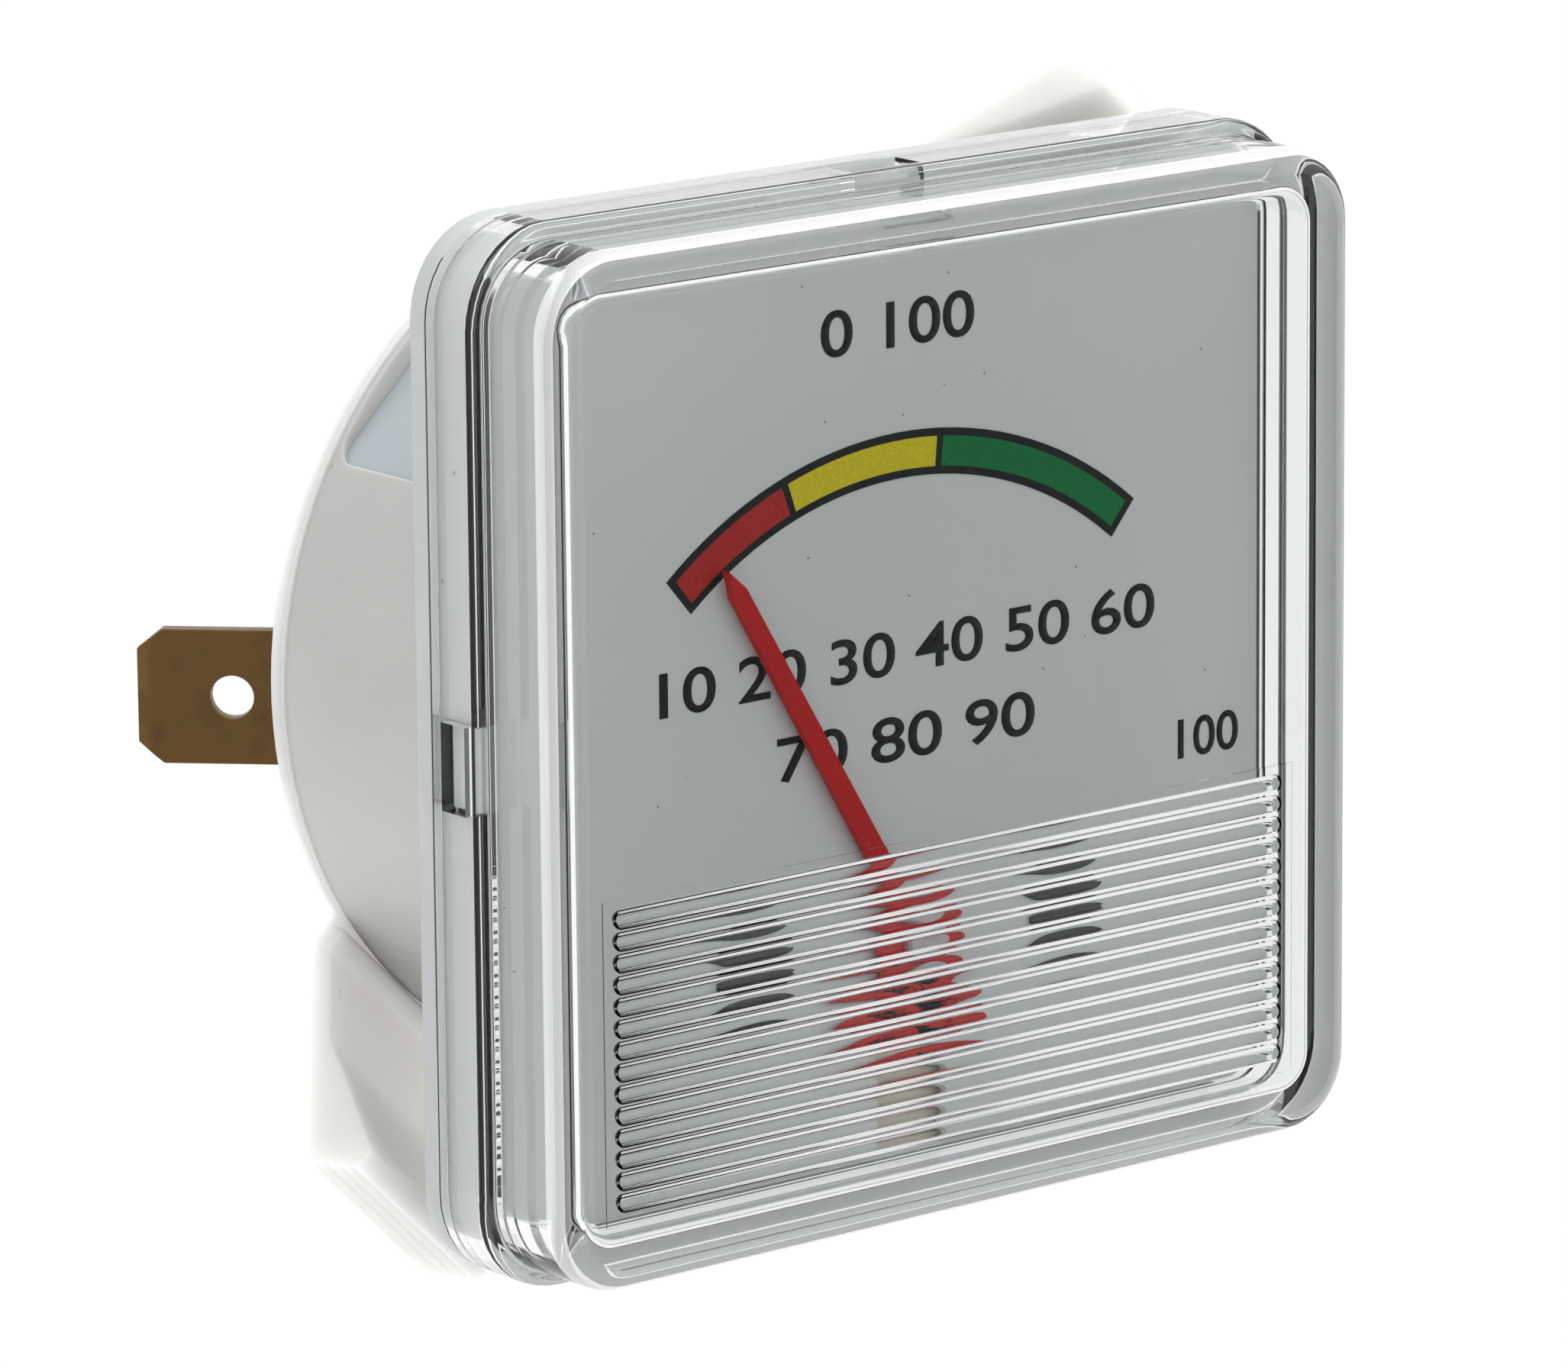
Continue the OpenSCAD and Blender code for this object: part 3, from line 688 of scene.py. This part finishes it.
FINISHES: dict[str, Any] = {
    f.slot: f
    for f in (
        ClearStyrene(),
        Nylon(
            "white_nylon",
            (0.445, 0.443, 0.433),
            (0.485, 0.482, 0.47),
            recess_radius_mm=19.75,
            # Painted light: near white flange, far lighter than the drum of the same nylon.
            flange_painted_light=(0.93, 0.945, 0.95),
        ),
        Nylon("clamp_nylon", (0.635, 0.637, 0.625), (0.675, 0.675, 0.665), 4.0, scatter=1.0),
        Nylon("cream_nylon", (0.72, 0.67, 0.56), (0.77, 0.72, 0.61), 0.8),
        DialPaint(),
        Ink("ink_black", (0.012, 0.014, 0.015)),
        Ink("ink_red", (0.45, 0.026, 0.025)),
        Ink("ink_yellow", (0.69, 0.595, 0.02)),
        Ink("ink_green", (0.003, 0.18, 0.046)),
        Lacquer("black_oxide", (0.008, 0.008, 0.009), 0.28),
        Lacquer("pointer_red", (0.56, 0.022, 0.023), 0.42, 0.12),
        Lacquer("lead_black", (0.012, 0.012, 0.013), 0.45),
        Lacquer("lead_red", (0.32, 0.012, 0.012), 0.45),
        Lacquer("resistor_body", (0.42, 0.30, 0.16), 0.4),
        Lacquer("diode_body", (0.34, 0.08, 0.025), 0.15),
        Metal("steel", (0.55, 0.56, 0.58), (0.36, 0.35, 0.34), 0.24),
        # The pink tint of this aluminium is a painted reflection of the red pointer.
        Metal("aluminium", (0.66, 0.63, 0.63), (0.55, 0.52, 0.52), 0.55),
        Metal("bronze", (0.62, 0.38, 0.16), (0.4, 0.22, 0.1), 0.25),
        Metal("brass", (0.165, 0.095, 0.035), (0.085, 0.045, 0.018), 0.24, (1.0, 1.0, 14.0)),
        Metal("magnet_alloy", (0.24, 0.24, 0.25), (0.14, 0.13, 0.13), 0.45),
        Metal("soft_iron", (0.38, 0.38, 0.4), (0.25, 0.24, 0.23), 0.35),
        Winding(),
        Board(),
    )
}


class Wardrobe:
    """Makes each finish once and puts it on pieces."""

    def __init__(self) -> None:
        """Starts with nothing made."""
        self.made: dict[str, bpy.types.Material] = {}

    def material(self, slot: str) -> bpy.types.Material:
        """The material of a slot, made at its first use."""
        if slot not in self.made:
            self.made[slot] = FINISHES[slot].make()
        return self.made[slot]

    def dress(self, piece: bpy.types.Object, slot: str) -> None:
        """Gives a whole piece the finish of one slot.

        Args:
            piece: The object.
            slot: The record's material slot.
        """
        piece.data.materials.clear()
        piece.data.materials.append(self.material(slot))


# ---------------------------------------------------------------- mesh helpers


def as_object(name: str, form: bmesh.types.BMesh) -> bpy.types.Object:
    """Turns a bmesh into an object at the origin.

    Args:
        name: The object's name.
        form: The bmesh, which is freed.

    Returns:
        The object, linked to the scene.
    """
    mesh = bpy.data.meshes.new(name)
    form.to_mesh(mesh)
    form.free()
    made = bpy.data.objects.new(name, mesh)
    bpy.context.scene.collection.objects.link(made)
    return made


def crease(form: bmesh.types.BMesh, limit_deg: float = 32.0) -> None:
    """Shades smooth, with sharp edges where faces meet at more than a limit.

    Args:
        form: The bmesh.
        limit_deg: The largest angle that still shades smooth.
    """
    for face in form.faces:
        face.smooth = True
    for edge in form.edges:
        open_edge = len(edge.link_faces) != 2
        edge.smooth = not open_edge and edge.calc_face_angle() < math.radians(limit_deg)


def combine(body: bpy.types.Object, tool: bpy.types.Object, cut: Cut) -> None:
    """Joins a closed tool to a body, or removes it from the body.

    Args:
        body: The object that is changed.
        tool: The object that acts, which is removed.
        cut: What the tool does.
    """
    change = body.modifiers.new("combine", "BOOLEAN")
    change.operation, change.object, change.solver = cut.value, tool, "EXACT"
    bpy.context.view_layer.update()
    evaluated = body.evaluated_get(bpy.context.evaluated_depsgraph_get())
    mesh = bpy.data.meshes.new_from_object(evaluated)
    body.modifiers.clear()
    body.data = mesh
    bpy.data.objects.remove(tool)


def block(low: Point, high: Point) -> bmesh.types.BMesh:
    """A box between two corners, in millimetres.

    Args:
        low: Lowest corner.
        high: Highest corner.

    Returns:
        The box.
    """
    form = bmesh.new()
    size = [(b - a) * MM for a, b in zip(low, high)]
    middle = Vector([(a + b) / 2 * MM for a, b in zip(low, high)])
    matrix = Matrix.Translation(middle) @ Matrix.Diagonal((*size, 1.0))
    bmesh.ops.create_cube(form, size=1.0, matrix=matrix)
    return form


def rounded_path(
    corners: list[tuple[float, float, float]], steps: int = 6, support: float = 0.04
) -> list[tuple[float, float]]:
    """Rounds a path's corners.

    Args:
        corners: Points and the radius at each; the first and last stay as they are.
        steps: Steps in each rounding.
        support: Distance of the extra point on the straight either side of a rounding.

    Returns:
        The path's points.
    """
    path = [(corners[0][0], corners[0][1])]
    for before, here, after in zip(corners, corners[1:], corners[2:]):
        corner = Vector(here[:2])
        into = (corner - Vector(before[:2])).normalized()
        away = (Vector(after[:2]) - corner).normalized()
        half_turn = into.angle(away) / 2
        setback = here[2] * math.tan(half_turn)
        side = (away - into).normalized()
        centre = corner + side * (here[2] / math.cos(half_turn))
        start = corner - into * setback
        path.append(tuple(start - into * support))
        spoke, end = start - centre, corner + away * setback - centre
        for i in range(steps + 1):
            share = i / steps
            arm = (spoke * math.sin((1 - share) * 2 * half_turn) + end * math.sin(share * 2 * half_turn))
            path.append(tuple(centre + arm / math.sin(2 * half_turn)))
        path.append(tuple(corner + away * setback + away * support))
    path.append((corners[-1][0], corners[-1][1]))
    return path


@dataclass
class RingLoft:
    """A closed shell of rounded square rings with one common corner centre."""

    core: float = 19.6
    corner_steps: int = 10
    support: float = 0.05
    form: bmesh.types.BMesh = field(default_factory=bmesh.new)

    def _outline(self) -> list[Vector]:
        """Directions from the core square, in order round the ring.

        Returns:
            One spot for each vertex of a ring, in millimetres.
        """
        feet: list[Vector] = []
        inner = self.core - self.support
        for quarter in range(4):
            turn = Matrix.Rotation(math.radians(90 * quarter), 2)
            spots = [Vector((self.core + 1.0, inner))]
            for i in range(self.corner_steps + 1):
                a = math.radians(90 * i / self.corner_steps)
                spots.append(Vector((self.core + math.cos(a), self.core + math.sin(a))))
            spots.append(Vector((inner, self.core + 1.0)))
            feet += [turn @ spot for spot in spots]
        return feet

    def _set(self, vert: bmesh.types.BMVert, half: float, y: float) -> None:
        """Puts a vertex at its place on the ring of a given half width.

        Args:
            vert: The vertex.
            half: Half the ring's width, in millimetres.
            y: The ring's Y, in millimetres.
        """
        x, z = vert.co.x / MM, vert.co.z / MM
        foot = Vector((max(-self.core, min(self.core, x)), max(-self.core, min(self.core, z))))
        arm = (Vector((x, z)) - foot).normalized() * (half - self.core)
        spot = foot + arm
        vert.co = Vector((spot.x, y, spot.y)) * MM

    def shell(self, path: list[tuple[float, float]]) -> bmesh.types.BMesh:
        """Sweeps the rings along a path and closes both ends.

        Args:
            path: Half width and Y of each ring, in millimetres.

        Returns:
            The closed shell.
        """
        outline = self._outline()
        made = bmesh.ops.create_circle(self.form, segments=len(outline), radius=MM)
        for vert, spot in zip(made["verts"], outline):
            vert.co = Vector((spot.x, 0.0, spot.y)) * MM
            self._set(vert, *path[0])
        ring = list(self.form.edges)
        bmesh.ops.contextual_create(self.form, geom=ring)
        for half, y in path[1:]:
            grown = bmesh.ops.extrude_edge_only(self.form, edges=ring)["geom"]
            ring = [g for g in grown if isinstance(g, bmesh.types.BMEdge)]
            ring = [e for e in ring if len(e.link_faces) == 1]
            for vert in {v for e in ring for v in e.verts}:
                self._set(vert, half, y)
        bmesh.ops.contextual_create(self.form, geom=ring)
        bmesh.ops.recalc_face_normals(self.form, faces=self.form.faces)
        return self.form


# -------------------------------------------------------------- sub-assemblies


@dataclass
class Workshop:
    """What every sub-assembly shares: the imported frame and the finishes."""

    frame: dict[str, Any]
    wardrobe: Wardrobe

    def node(self, name: str) -> bpy.types.Object:
        """A CAD node's object."""
        return self.frame["nodes"][name]

    def slot_of(self, name: str) -> str:
        """The material slot that the record gives a node."""
        parts = self.frame["record"]["subparts"]
        return next(p["material_slot"] for p in parts if p["node"] == name)

    def keep(self, *names: str) -> None:
        """Gives CAD nodes their finishes and leaves their shapes.

        Args:
            *names: The nodes.
        """
        for name in names:
            self.wardrobe.dress(self.node(name), self.slot_of(name))
            LOG.info("kept %s", name)

    def place(
        self, piece: bpy.types.Object, body: Body, slot: str, replaced: Iterable[str] = ()
    ) -> bpy.types.Object:
        """Dresses a new piece and hands it to its body.

        Args:
            piece: The new piece, at its place in the frame.
            body: The body it rides on.
            slot: The record's material slot.
            replaced: CAD nodes that it stands for.

        Returns:
            The piece.
        """
        self.wardrobe.dress(piece, slot)
        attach(piece, body.value)
        if replaced:
            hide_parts(*replaced)
        LOG.info("placed %s on %s", piece.name, body.value)
        return piece

    def softened(
        self,
        name: str,
        body: Body,
        width_mm: float,
        shape: Optional[Callable[[bmesh.types.BMesh], None]] = None,
    ) -> bpy.types.Object:
        """A copy of a CAD node with its edges rounded over.

        Args:
            name: The node.
            body: The body it rides on.
            width_mm: Width of the rounding.
            shape: A change made to the copy before it is rounded.

        Returns:
            The new piece, which stands for the node.
        """
        form = bmesh.new()
        form.from_mesh(self.node(name).data)
        bmesh.ops.remove_doubles(form, verts=form.verts, dist=MERGE_MM * MM)
        bmesh.ops.dissolve_limit(
            form, angle_limit=math.radians(FLAT_DEG), verts=form.verts, edges=form.edges
        )
        if shape:
            shape(form)
        edges = [
            e for e in form.edges if len(e.link_faces) == 2 and e.calc_face_angle() > math.radians(EDGE_DEG)
        ]
        bmesh.ops.bevel(
            form,
            geom=edges,
            offset=width_mm * MM,
            affect="EDGES",
            segments=2,
            profile=0.5,
            material=-1,
            clamp_overlap=True,
        )
        crease(form, SMOOTH_DEG)
        piece = as_object(f"{name}_finished", form)
        normals = piece.modifiers.new("flat_faces", "WEIGHTED_NORMAL")
        normals.keep_sharp = True
        return self.place(piece, body, self.slot_of(name), [name])


@dataclass
class ClearCase:
    """The clear cover with its reeded window, and the clear frame behind it."""

    outer: float = 24.0
    front_half: float = 23.25
    cavity: float = 21.4
    rear_cavity: float = 22.9
    front_y: float = -9.1
    ledge_y: float = -4.2
    window_y: float = -7.6
    step_y: float = -3.63
    rear_y: float = -1.09
    rib_count: int = 14
    rib_pitch: float = 0.99
    rib_radius: float = 0.455
    rib_sink: float = -0.06
    rib_top: float = -6.5
    rib_half_length: float = 19.12
    face_ring: float = 20.6
    window_ring: float = 20.3
    pad_half: float = 20.2
    pad_top: float = -5.62
    pad_margin: float = 1.0
    pad_root: float = 0.2
    pad_rise: float = 0.06
    # Painted shade strips: their reach, inset and Y spans.
    shade_strip_reach: float = 22.4
    shade_strip_inset: float = 0.04
    shade_strip_y: tuple[float, float] = (-1.08, -1.03)
    shade_strip_hole_y: tuple[float, float] = (-1.5, -0.5)
    beyond: float = 30.0
    frame_front_y: float = -1.05
    parted_front_y: float = -1.02
    latch_low: Point = (22.4, -3.45, -2.0)
    latch_high: Point = (24.6, -1.75, 2.0)
    latch_turns: tuple[float, float] = (180.0, 270.0)

    def _shell(self) -> bpy.types.Object:
        """The cover without ribs or latch windows."""
        corners = [
            (self.face_ring, self.front_y, 0.0),
            (self.front_half, self.front_y, 1.1),
            (self.front_half, self.ledge_y, 0.12),
            (self.outer, self.ledge_y, 0.4),
            (self.outer, self.rear_y, 0.12),
            (self.rear_cavity, self.rear_y, 0.1),
            (self.rear_cavity, self.step_y, 0.12),
            (self.cavity, self.step_y, 0.12),
            (self.cavity, self.window_y, 0.5),
            (self.window_ring, self.window_y, 0.0),
        ]
        return as_object("cover_finished", RingLoft().shell(rounded_path(corners)))

    def _ribs(self) -> bpy.types.Object:
        """The half-round ribs with rounded ends."""
        form = bmesh.new()
        to_x = Matrix.Rotation(math.radians(90), 4, "Y")
        for i in range(self.rib_count):
            made = bmesh.ops.create_uvsphere(
                form, u_segments=24, v_segments=15, radius=self.rib_radius * MM, matrix=to_x
            )["verts"]
            z = (self.rib_top - i * self.rib_pitch) * MM
            y = (self.window_y - self.rib_sink) * MM
            for vert in made:
                reach = self.rib_half_length if vert.co.x > 0 else -self.rib_half_length
                vert.co += Vector((reach * MM, y, z))
        return as_object("ribs", form)

    def _pad(self) -> bpy.types.Object:
        """The thin raised field that carries the ribs."""
        low_z = self.rib_top - self.rib_pitch * (self.rib_count - 1) - self.pad_margin
        low = (-self.pad_half, self.window_y - self.pad_root, low_z)
        high = (self.pad_half, self.window_y + self.pad_rise, self.pad_top)
        return as_object("rib_field", block(low, high))

    def _windows(self) -> Iterable[bpy.types.Object]:
        """The openings in which the latches catch."""
        for i, angle in enumerate(self.latch_turns):
            form = block(self.latch_low, self.latch_high)
            turn = Matrix.Rotation(math.radians(angle), 3, "Y")
            bmesh.ops.rotate(form, cent=(0, 0, 0), matrix=turn, verts=form.verts)
            yield as_object(f"latch_window_{i}", form)

    def _painted_shade_strips(self) -> bpy.types.Object:
        """Painted shade: thin dark strips between cover and frame, at the left and the right, standing in
        for the dark line along the ledge.
        """
        band = RingLoft().shell([(self.outer - self.shade_strip_inset, y) for y in self.shade_strip_y])
        strips = as_object("painted_shade_strips", band)
        inside = RingLoft().shell([(self.rear_cavity + self.shade_strip_inset, y) for y in self.shade_strip_hole_y])
        combine(strips, as_object("shade_strip_inside", inside), Cut.REMOVE)
        for low, high in ((-self.beyond, -self.shade_strip_reach), (self.shade_strip_reach, self.beyond)):
            end = block((-self.beyond, -2.0, low), (self.beyond, 0.0, high))
            combine(strips, as_object("shade_strip_end", end), Cut.REMOVE)
        return strips

    def build(self, shop: Workshop) -> None:
        """Makes the cover and its frame.

        Args:
            shop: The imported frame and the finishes.
        """
        cover = self._shell()
        combine(cover, self._pad(), Cut.JOIN)
        combine(cover, self._ribs(), Cut.JOIN)
        for window in self._windows():
            combine(cover, window, Cut.REMOVE)
        form = bmesh.new()
        form.from_mesh(cover.data)
        crease(form, 30.0)
        form.to_mesh(cover.data)
        form.free()
        shop.place(cover, Body.CASE, "clear_styrene", ["front_cover"])

        def part_faces(frame: bmesh.types.BMesh) -> None:
            """Moves the frame's front face back a hair, as a seam between two mouldings.

            Args:
                frame: The copy of the frame.
            """
            for vert in frame.verts:
                if abs(vert.co.y - self.frame_front_y * MM) < 0.002 * MM:
                    vert.co.y = self.parted_front_y * MM

        frame = shop.softened("rear_frame", Body.CASE, 0.08, part_faces)
        frame.data.materials[0] = HAZY_FRAME.make()
        # Dark strips of painted shade at the left and right seams.
        shop.place(self._painted_shade_strips(), Body.CASE, "lead_black")


@dataclass
class Housing:
    """The round translucent housing, its terminals and screws."""

    def build(self, shop: Workshop) -> None:
        """Rounds the mouldings' edges and dresses what they hold.

        Args:
            shop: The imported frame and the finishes.
        """
        shop.softened("housing", Body.CASE, 0.12)
        for name in ("terminal_left", "terminal_right"):
            shop.softened(name, Body.CASE, 0.07)
        shop.softened("terminal_rivets", Body.CASE, 0.2)
        shop.softened("frame_screws", Body.CASE, 0.08)
        shop.keep("circuit_board", "series_resistor", "zener_diode", "lead_left", "lead_right")


@dataclass
class Clamp:
    """The clamp that turns on the housing's rear."""

    def build(self, shop: Workshop) -> None:
        """Rounds the clamp's edges.

        Args:
            shop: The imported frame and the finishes.
        """
        shop.softened("mounting_clamp", Body.CLAMP, 0.14)


@dataclass
class Marking:
    """One row of numbers on the dial."""

    name: str
    words: str
    centre_x: float
    centre_z: float
    height: float
    width: float
    stroke: float = 0.01
    film: float = 0.03
    sunk: float = 0.005

    def build(self, shop: Workshop, dial_y: float) -> None:
        """Prints the row on the dial.

        Args:
            shop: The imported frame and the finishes.
            dial_y: The dial's front face, in millimetres.
        """
        font = bpy.data.curves.new(self.name, "FONT")
        font.body = self.words
        font.size = 1.0
        font.resolution_u = 6
        font.offset = self.stroke
        holder = bpy.data.objects.new(self.name + "_font", font)
        bpy.context.scene.collection.objects.link(holder)
        bpy.context.view_layer.update()
        depsgraph = bpy.context.evaluated_depsgraph_get()
        mesh = bpy.data.meshes.new_from_object(holder.evaluated_get(depsgraph))
        bpy.data.objects.remove(holder)
        form = bmesh.new()
        form.from_mesh(mesh)
        bmesh.ops.remove_doubles(form, verts=form.verts, dist=1e-5)
        grown = bmesh.ops.extrude_face_region(form, geom=list(form.faces))["geom"]
        top = [g for g in grown if isinstance(g, bmesh.types.BMVert)]
        bmesh.ops.translate(form, vec=(0, 0, 1.0), verts=top)
        bmesh.ops.recalc_face_normals(form, faces=form.faces)
        xs = [v.co.x for v in form.verts]
        ys = [v.co.y for v in form.verts]
        middle = Vector(((min(xs) + max(xs)) / 2, (min(ys) + max(ys)) / 2, 0))
        scale = (self.width / (max(xs) - min(xs)), self.height / (max(ys) - min(ys)), self.film)
        bmesh.ops.translate(form, vec=-middle, verts=form.verts)
        bmesh.ops.scale(form, vec=Vector(scale) * MM, verts=form.verts)
        upright = Matrix.Rotation(math.radians(90), 3, "X")
        bmesh.ops.rotate(form, cent=(0, 0, 0), matrix=upright, verts=form.verts)
        spot = Vector((self.centre_x, dial_y + self.sunk, self.centre_z)) * MM
        bmesh.ops.translate(form, vec=spot, verts=form.verts)
        shop.place(as_object(self.name, form), Body.CASE, "ink_black")


@dataclass
class Dial:
    """The dial plate with its scale, numbers and screws."""

    face_y: float = -4.0
    rows: tuple[Marking, ...] = (
        Marking("numbers_top", "0 100", -0.3, 17.1, 2.15, 8.9),
        Marking("numbers_upper_row", "10 20 30 40 50 60", 0.4, 2.1, 2.1, 29.0),
        Marking("numbers_lower_row", "70 80 90", 0.1, -1.9, 2.1, 15.1),
        Marking("number_corner", "100", 18.2, -4.6, 1.9, 3.7),
    )

    def build(self, shop: Workshop) -> None:
        """Dresses the plate and prints the numbers.

        Args:
            shop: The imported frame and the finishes.
        """
        shop.keep("dial_plate", "scale_outline", "scale_red", "scale_yellow", "scale_green", "dial_posts")
        shop.softened("dial_screws", Body.CASE, 0.12)
        for row in self.rows:
            row.build(shop, self.face_y)


@dataclass
class Movement:
    """The pointer, the coil and what carries them."""

    pivot_z: float = -10.8
    cap_radius: float = 1.09
    cap_front_y: float = -5.44
    cap_back_y: float = -5.33

    def _collet_cap(self) -> bpy.types.Object:
        """The thin cap on the end of the pointer's collet."""
        form = bmesh.new()
        middle = Vector((0.0, (self.cap_front_y + self.cap_back_y) / 2, self.pivot_z)) * MM
        bmesh.ops.create_cone(
            form,
            cap_ends=True,
            segments=48,
            radius1=self.cap_radius * MM,
            radius2=self.cap_radius * MM,
            depth=(self.cap_back_y - self.cap_front_y) * MM,
            matrix=Matrix.Translation(middle) @ Matrix.Rotation(math.radians(90), 4, "X"),
        )
        crease(form)
        return as_object("collet_cap", form)

    def build(self, shop: Workshop) -> None:
        """Dresses the moving element and the magnet system.

        Args:
            shop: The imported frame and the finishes.
        """
        shop.softened("pointer", Body.MOVEMENT, 0.07)
        shop.softened("pointer_collet", Body.MOVEMENT, 0.06)
        shop.place(self._collet_cap(), Body.MOVEMENT, "aluminium")
        shop.softened("balance_weight", Body.MOVEMENT, 0.1)
        shop.keep("front_staff", "rear_staff", "coil_former", "moving_coil")
        shop.keep("front_hairspring", "rear_hairspring", "front_bridge", "front_bush", "rear_bridge")
        shop.keep("rear_jewel_screw", "bridge_screws", "stop_pins", "core_magnet", "core_bracket")
        shop.keep("magnet_yoke", "movement_frame")
        shop.softened("zero_lever", Body.ZERO, 0.06)


# ----------------------------------------------------------------------- stage


@dataclass(frozen=True)
class Lamp:
    """A rectangular soft lamp that faces the object. Metres and watts."""

    name: str
    spot: Point
    size: tuple[float, float]
    power: float
    mirrored: bool


@dataclass
class Studio:
    """Floor, lamps, world and camera."""

    yaw: float = 38.9605
    tilt: float = 13.0513
    roll: float = -0.5084
    aside: float = -8.2638
    above: float = 1.2805
    away: float = 426.6275
    lens: float = 219.05
    bezel_depth: float = 9.1
    dark_zones: tuple[tuple[Point, float, float, float], ...] = (
        ((0.61, -0.757, -0.226), 5.5, 9.0, 0.88),
        ((-0.754, -0.609, -0.226), 10.0, 24.0, 0.3),
    )
    world_level: float = 0.94
    world_rise: float = 0.12
    floor_half: float = 0.7
    floor_spot: Point = (0.0, 0.6, -0.1)
    floor_glow: float = 0.94
    lamps: tuple[Lamp, ...] = (
        Lamp("key", (0.45, -0.75, 0.75), (1.0, 1.0), 15.0, False),
        Lamp("fill", (-0.8, -0.45, 0.85), (0.6, 0.6), 2.0, True),
    )

    def camera(self) -> None:
        """Sets the camera at the photograph's place."""
        yaw, tilt, roll = (math.radians(a) for a in (self.yaw, self.tilt, self.roll))
        back = Vector(
            (-math.sin(yaw) * math.cos(tilt), -math.cos(yaw) * math.cos(tilt), math.sin(tilt))
        )
        right = Vector((0, 0, 1)).cross(back).normalized()
        up = back.cross(right)
        across = right * math.cos(roll) + up * math.sin(roll)
        upward = up * math.cos(roll) - right * math.sin(roll)
        spot = across * self.aside + upward * self.above + back * self.away
        spot.y -= self.bezel_depth
        data = bpy.data.cameras.new("camera")
        data.lens, data.sensor_width, data.sensor_fit = self.lens, 36.0, "HORIZONTAL"
        data.clip_start, data.clip_end = 0.01, 20.0
        eye = bpy.data.objects.new("camera", data)
        turn = Matrix((across, upward, back)).transposed().to_4x4()
        eye.matrix_world = Matrix.Translation(spot * MM) @ turn
        bpy.context.scene.collection.objects.link(eye)
        bpy.context.scene.camera = eye

    def hang(self, lamp: Lamp) -> None:
        """Adds one lamp.

        Args:
            lamp: The lamp. Glossy and clear surfaces show it only if it is mirrored.
        """
        data = bpy.data.lights.new(lamp.name, "AREA")
        data.shape, data.energy = "RECTANGLE", lamp.power
        data.size, data.size_y = lamp.size
        made = bpy.data.objects.new(lamp.name, data)
        made.location = lamp.spot
        made.rotation_mode = "QUATERNION"
        made.rotation_quaternion = (-Vector(lamp.spot)).to_track_quat("-Z", "Y")
        made.visible_glossy = made.visible_transmission = lamp.mirrored
        bpy.context.scene.collection.objects.link(made)

    def world(self) -> None:
        """White all round, with dark zones in front that glossy faces reflect."""
        world = bpy.data.worlds.new("studio")
        world.use_nodes = True
        bpy.context.scene.world = world
        recipe = Recipe(world.node_tree)
        split = recipe.node(
            "ShaderNodeSeparateXYZ", inputs={0: recipe.out("ShaderNodeTexCoord", "Generated")}
        )
        x, y, z = (Signal(recipe, split.outputs[i]) for i in range(3))
        level = self.world_level + z * self.world_rise
        for (dx, dy, dz), inner, outer, depth in self.dark_zones:
            near = x * dx + y * dy + z * dz
            edge, full = math.cos(math.radians(outer)), math.cos(math.radians(inner))
            level = level - ((near - edge) * (1.0 / (full - edge))).clamped() * depth
        seen = recipe.out("ShaderNodeLightPath", "Is Camera Ray")
        strength = recipe.math("MAXIMUM", level, seen)
        light = recipe.out(
            "ShaderNodeBackground", inputs={"Color": (1.0, 1.0, 1.0, 1.0), "Strength": strength}
        )
        recipe.node("ShaderNodeOutputWorld", inputs={"Surface": light})

    def floor(self) -> None:
        """A plain white floor that keeps a soft shadow."""
        form = bmesh.new()
        bmesh.ops.create_grid(form, x_segments=2, y_segments=2, size=self.floor_half)
        bmesh.ops.translate(form, vec=self.floor_spot, verts=form.verts)
        floor = as_object("floor", form)
        recipe, material = Recipe.material("floor_white")
        grain = recipe.noise(3.0, 2.0)
        matte = recipe.out(
            "ShaderNodeBsdfDiffuse",
            inputs={"Color": recipe.blend(grain, (0.9, 0.9, 0.9), (0.93, 0.93, 0.93))},
        )
        glow = recipe.out(
            "ShaderNodeEmission", inputs={"Color": (1.0, 1.0, 1.0, 1.0), "Strength": 1.0}
        )
        paths = recipe.node("ShaderNodeLightPath")
        camera, glossy, clear = (
            Signal(recipe, paths.outputs[f"Is {kind} Ray"]) for kind in ("Camera", "Glossy", "Transmission")
        )
        seen = recipe.math("MAXIMUM", recipe.math("MAXIMUM", camera, glossy), clear)
        shader = recipe.out(
            "ShaderNodeMixShader", inputs={0: seen * self.floor_glow, 1: matte, 2: glow}
        )
        recipe.node("ShaderNodeOutputMaterial", inputs={"Surface": shader})
        floor.data.materials.append(material)
        floor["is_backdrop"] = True

    def build(self) -> None:
        """Sets up everything round the object."""
        bpy.context.scene.view_settings.view_transform = "Standard"
        self.camera()
        self.world()
        self.floor()
        for lamp in self.lamps:
            self.hang(lamp)


def main() -> None:
    """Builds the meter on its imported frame."""
    logging.basicConfig(level=logging.INFO, format="%(name)s: %(message)s")
    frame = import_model()
    cad_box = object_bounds()
    Studio().build()
    shop = Workshop(frame, Wardrobe())
    for part in (ClearCase(), Housing(), Clamp(), Dial(), Movement()):
        LOG.info("building %s", type(part).__name__)
        part.build(shop)
    boxes = {"cad": cad_box, "visual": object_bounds()}
    {name: [list(corner) for corner in box] for name, box in boxes.items()}


if __name__ == "__main__":
    main()
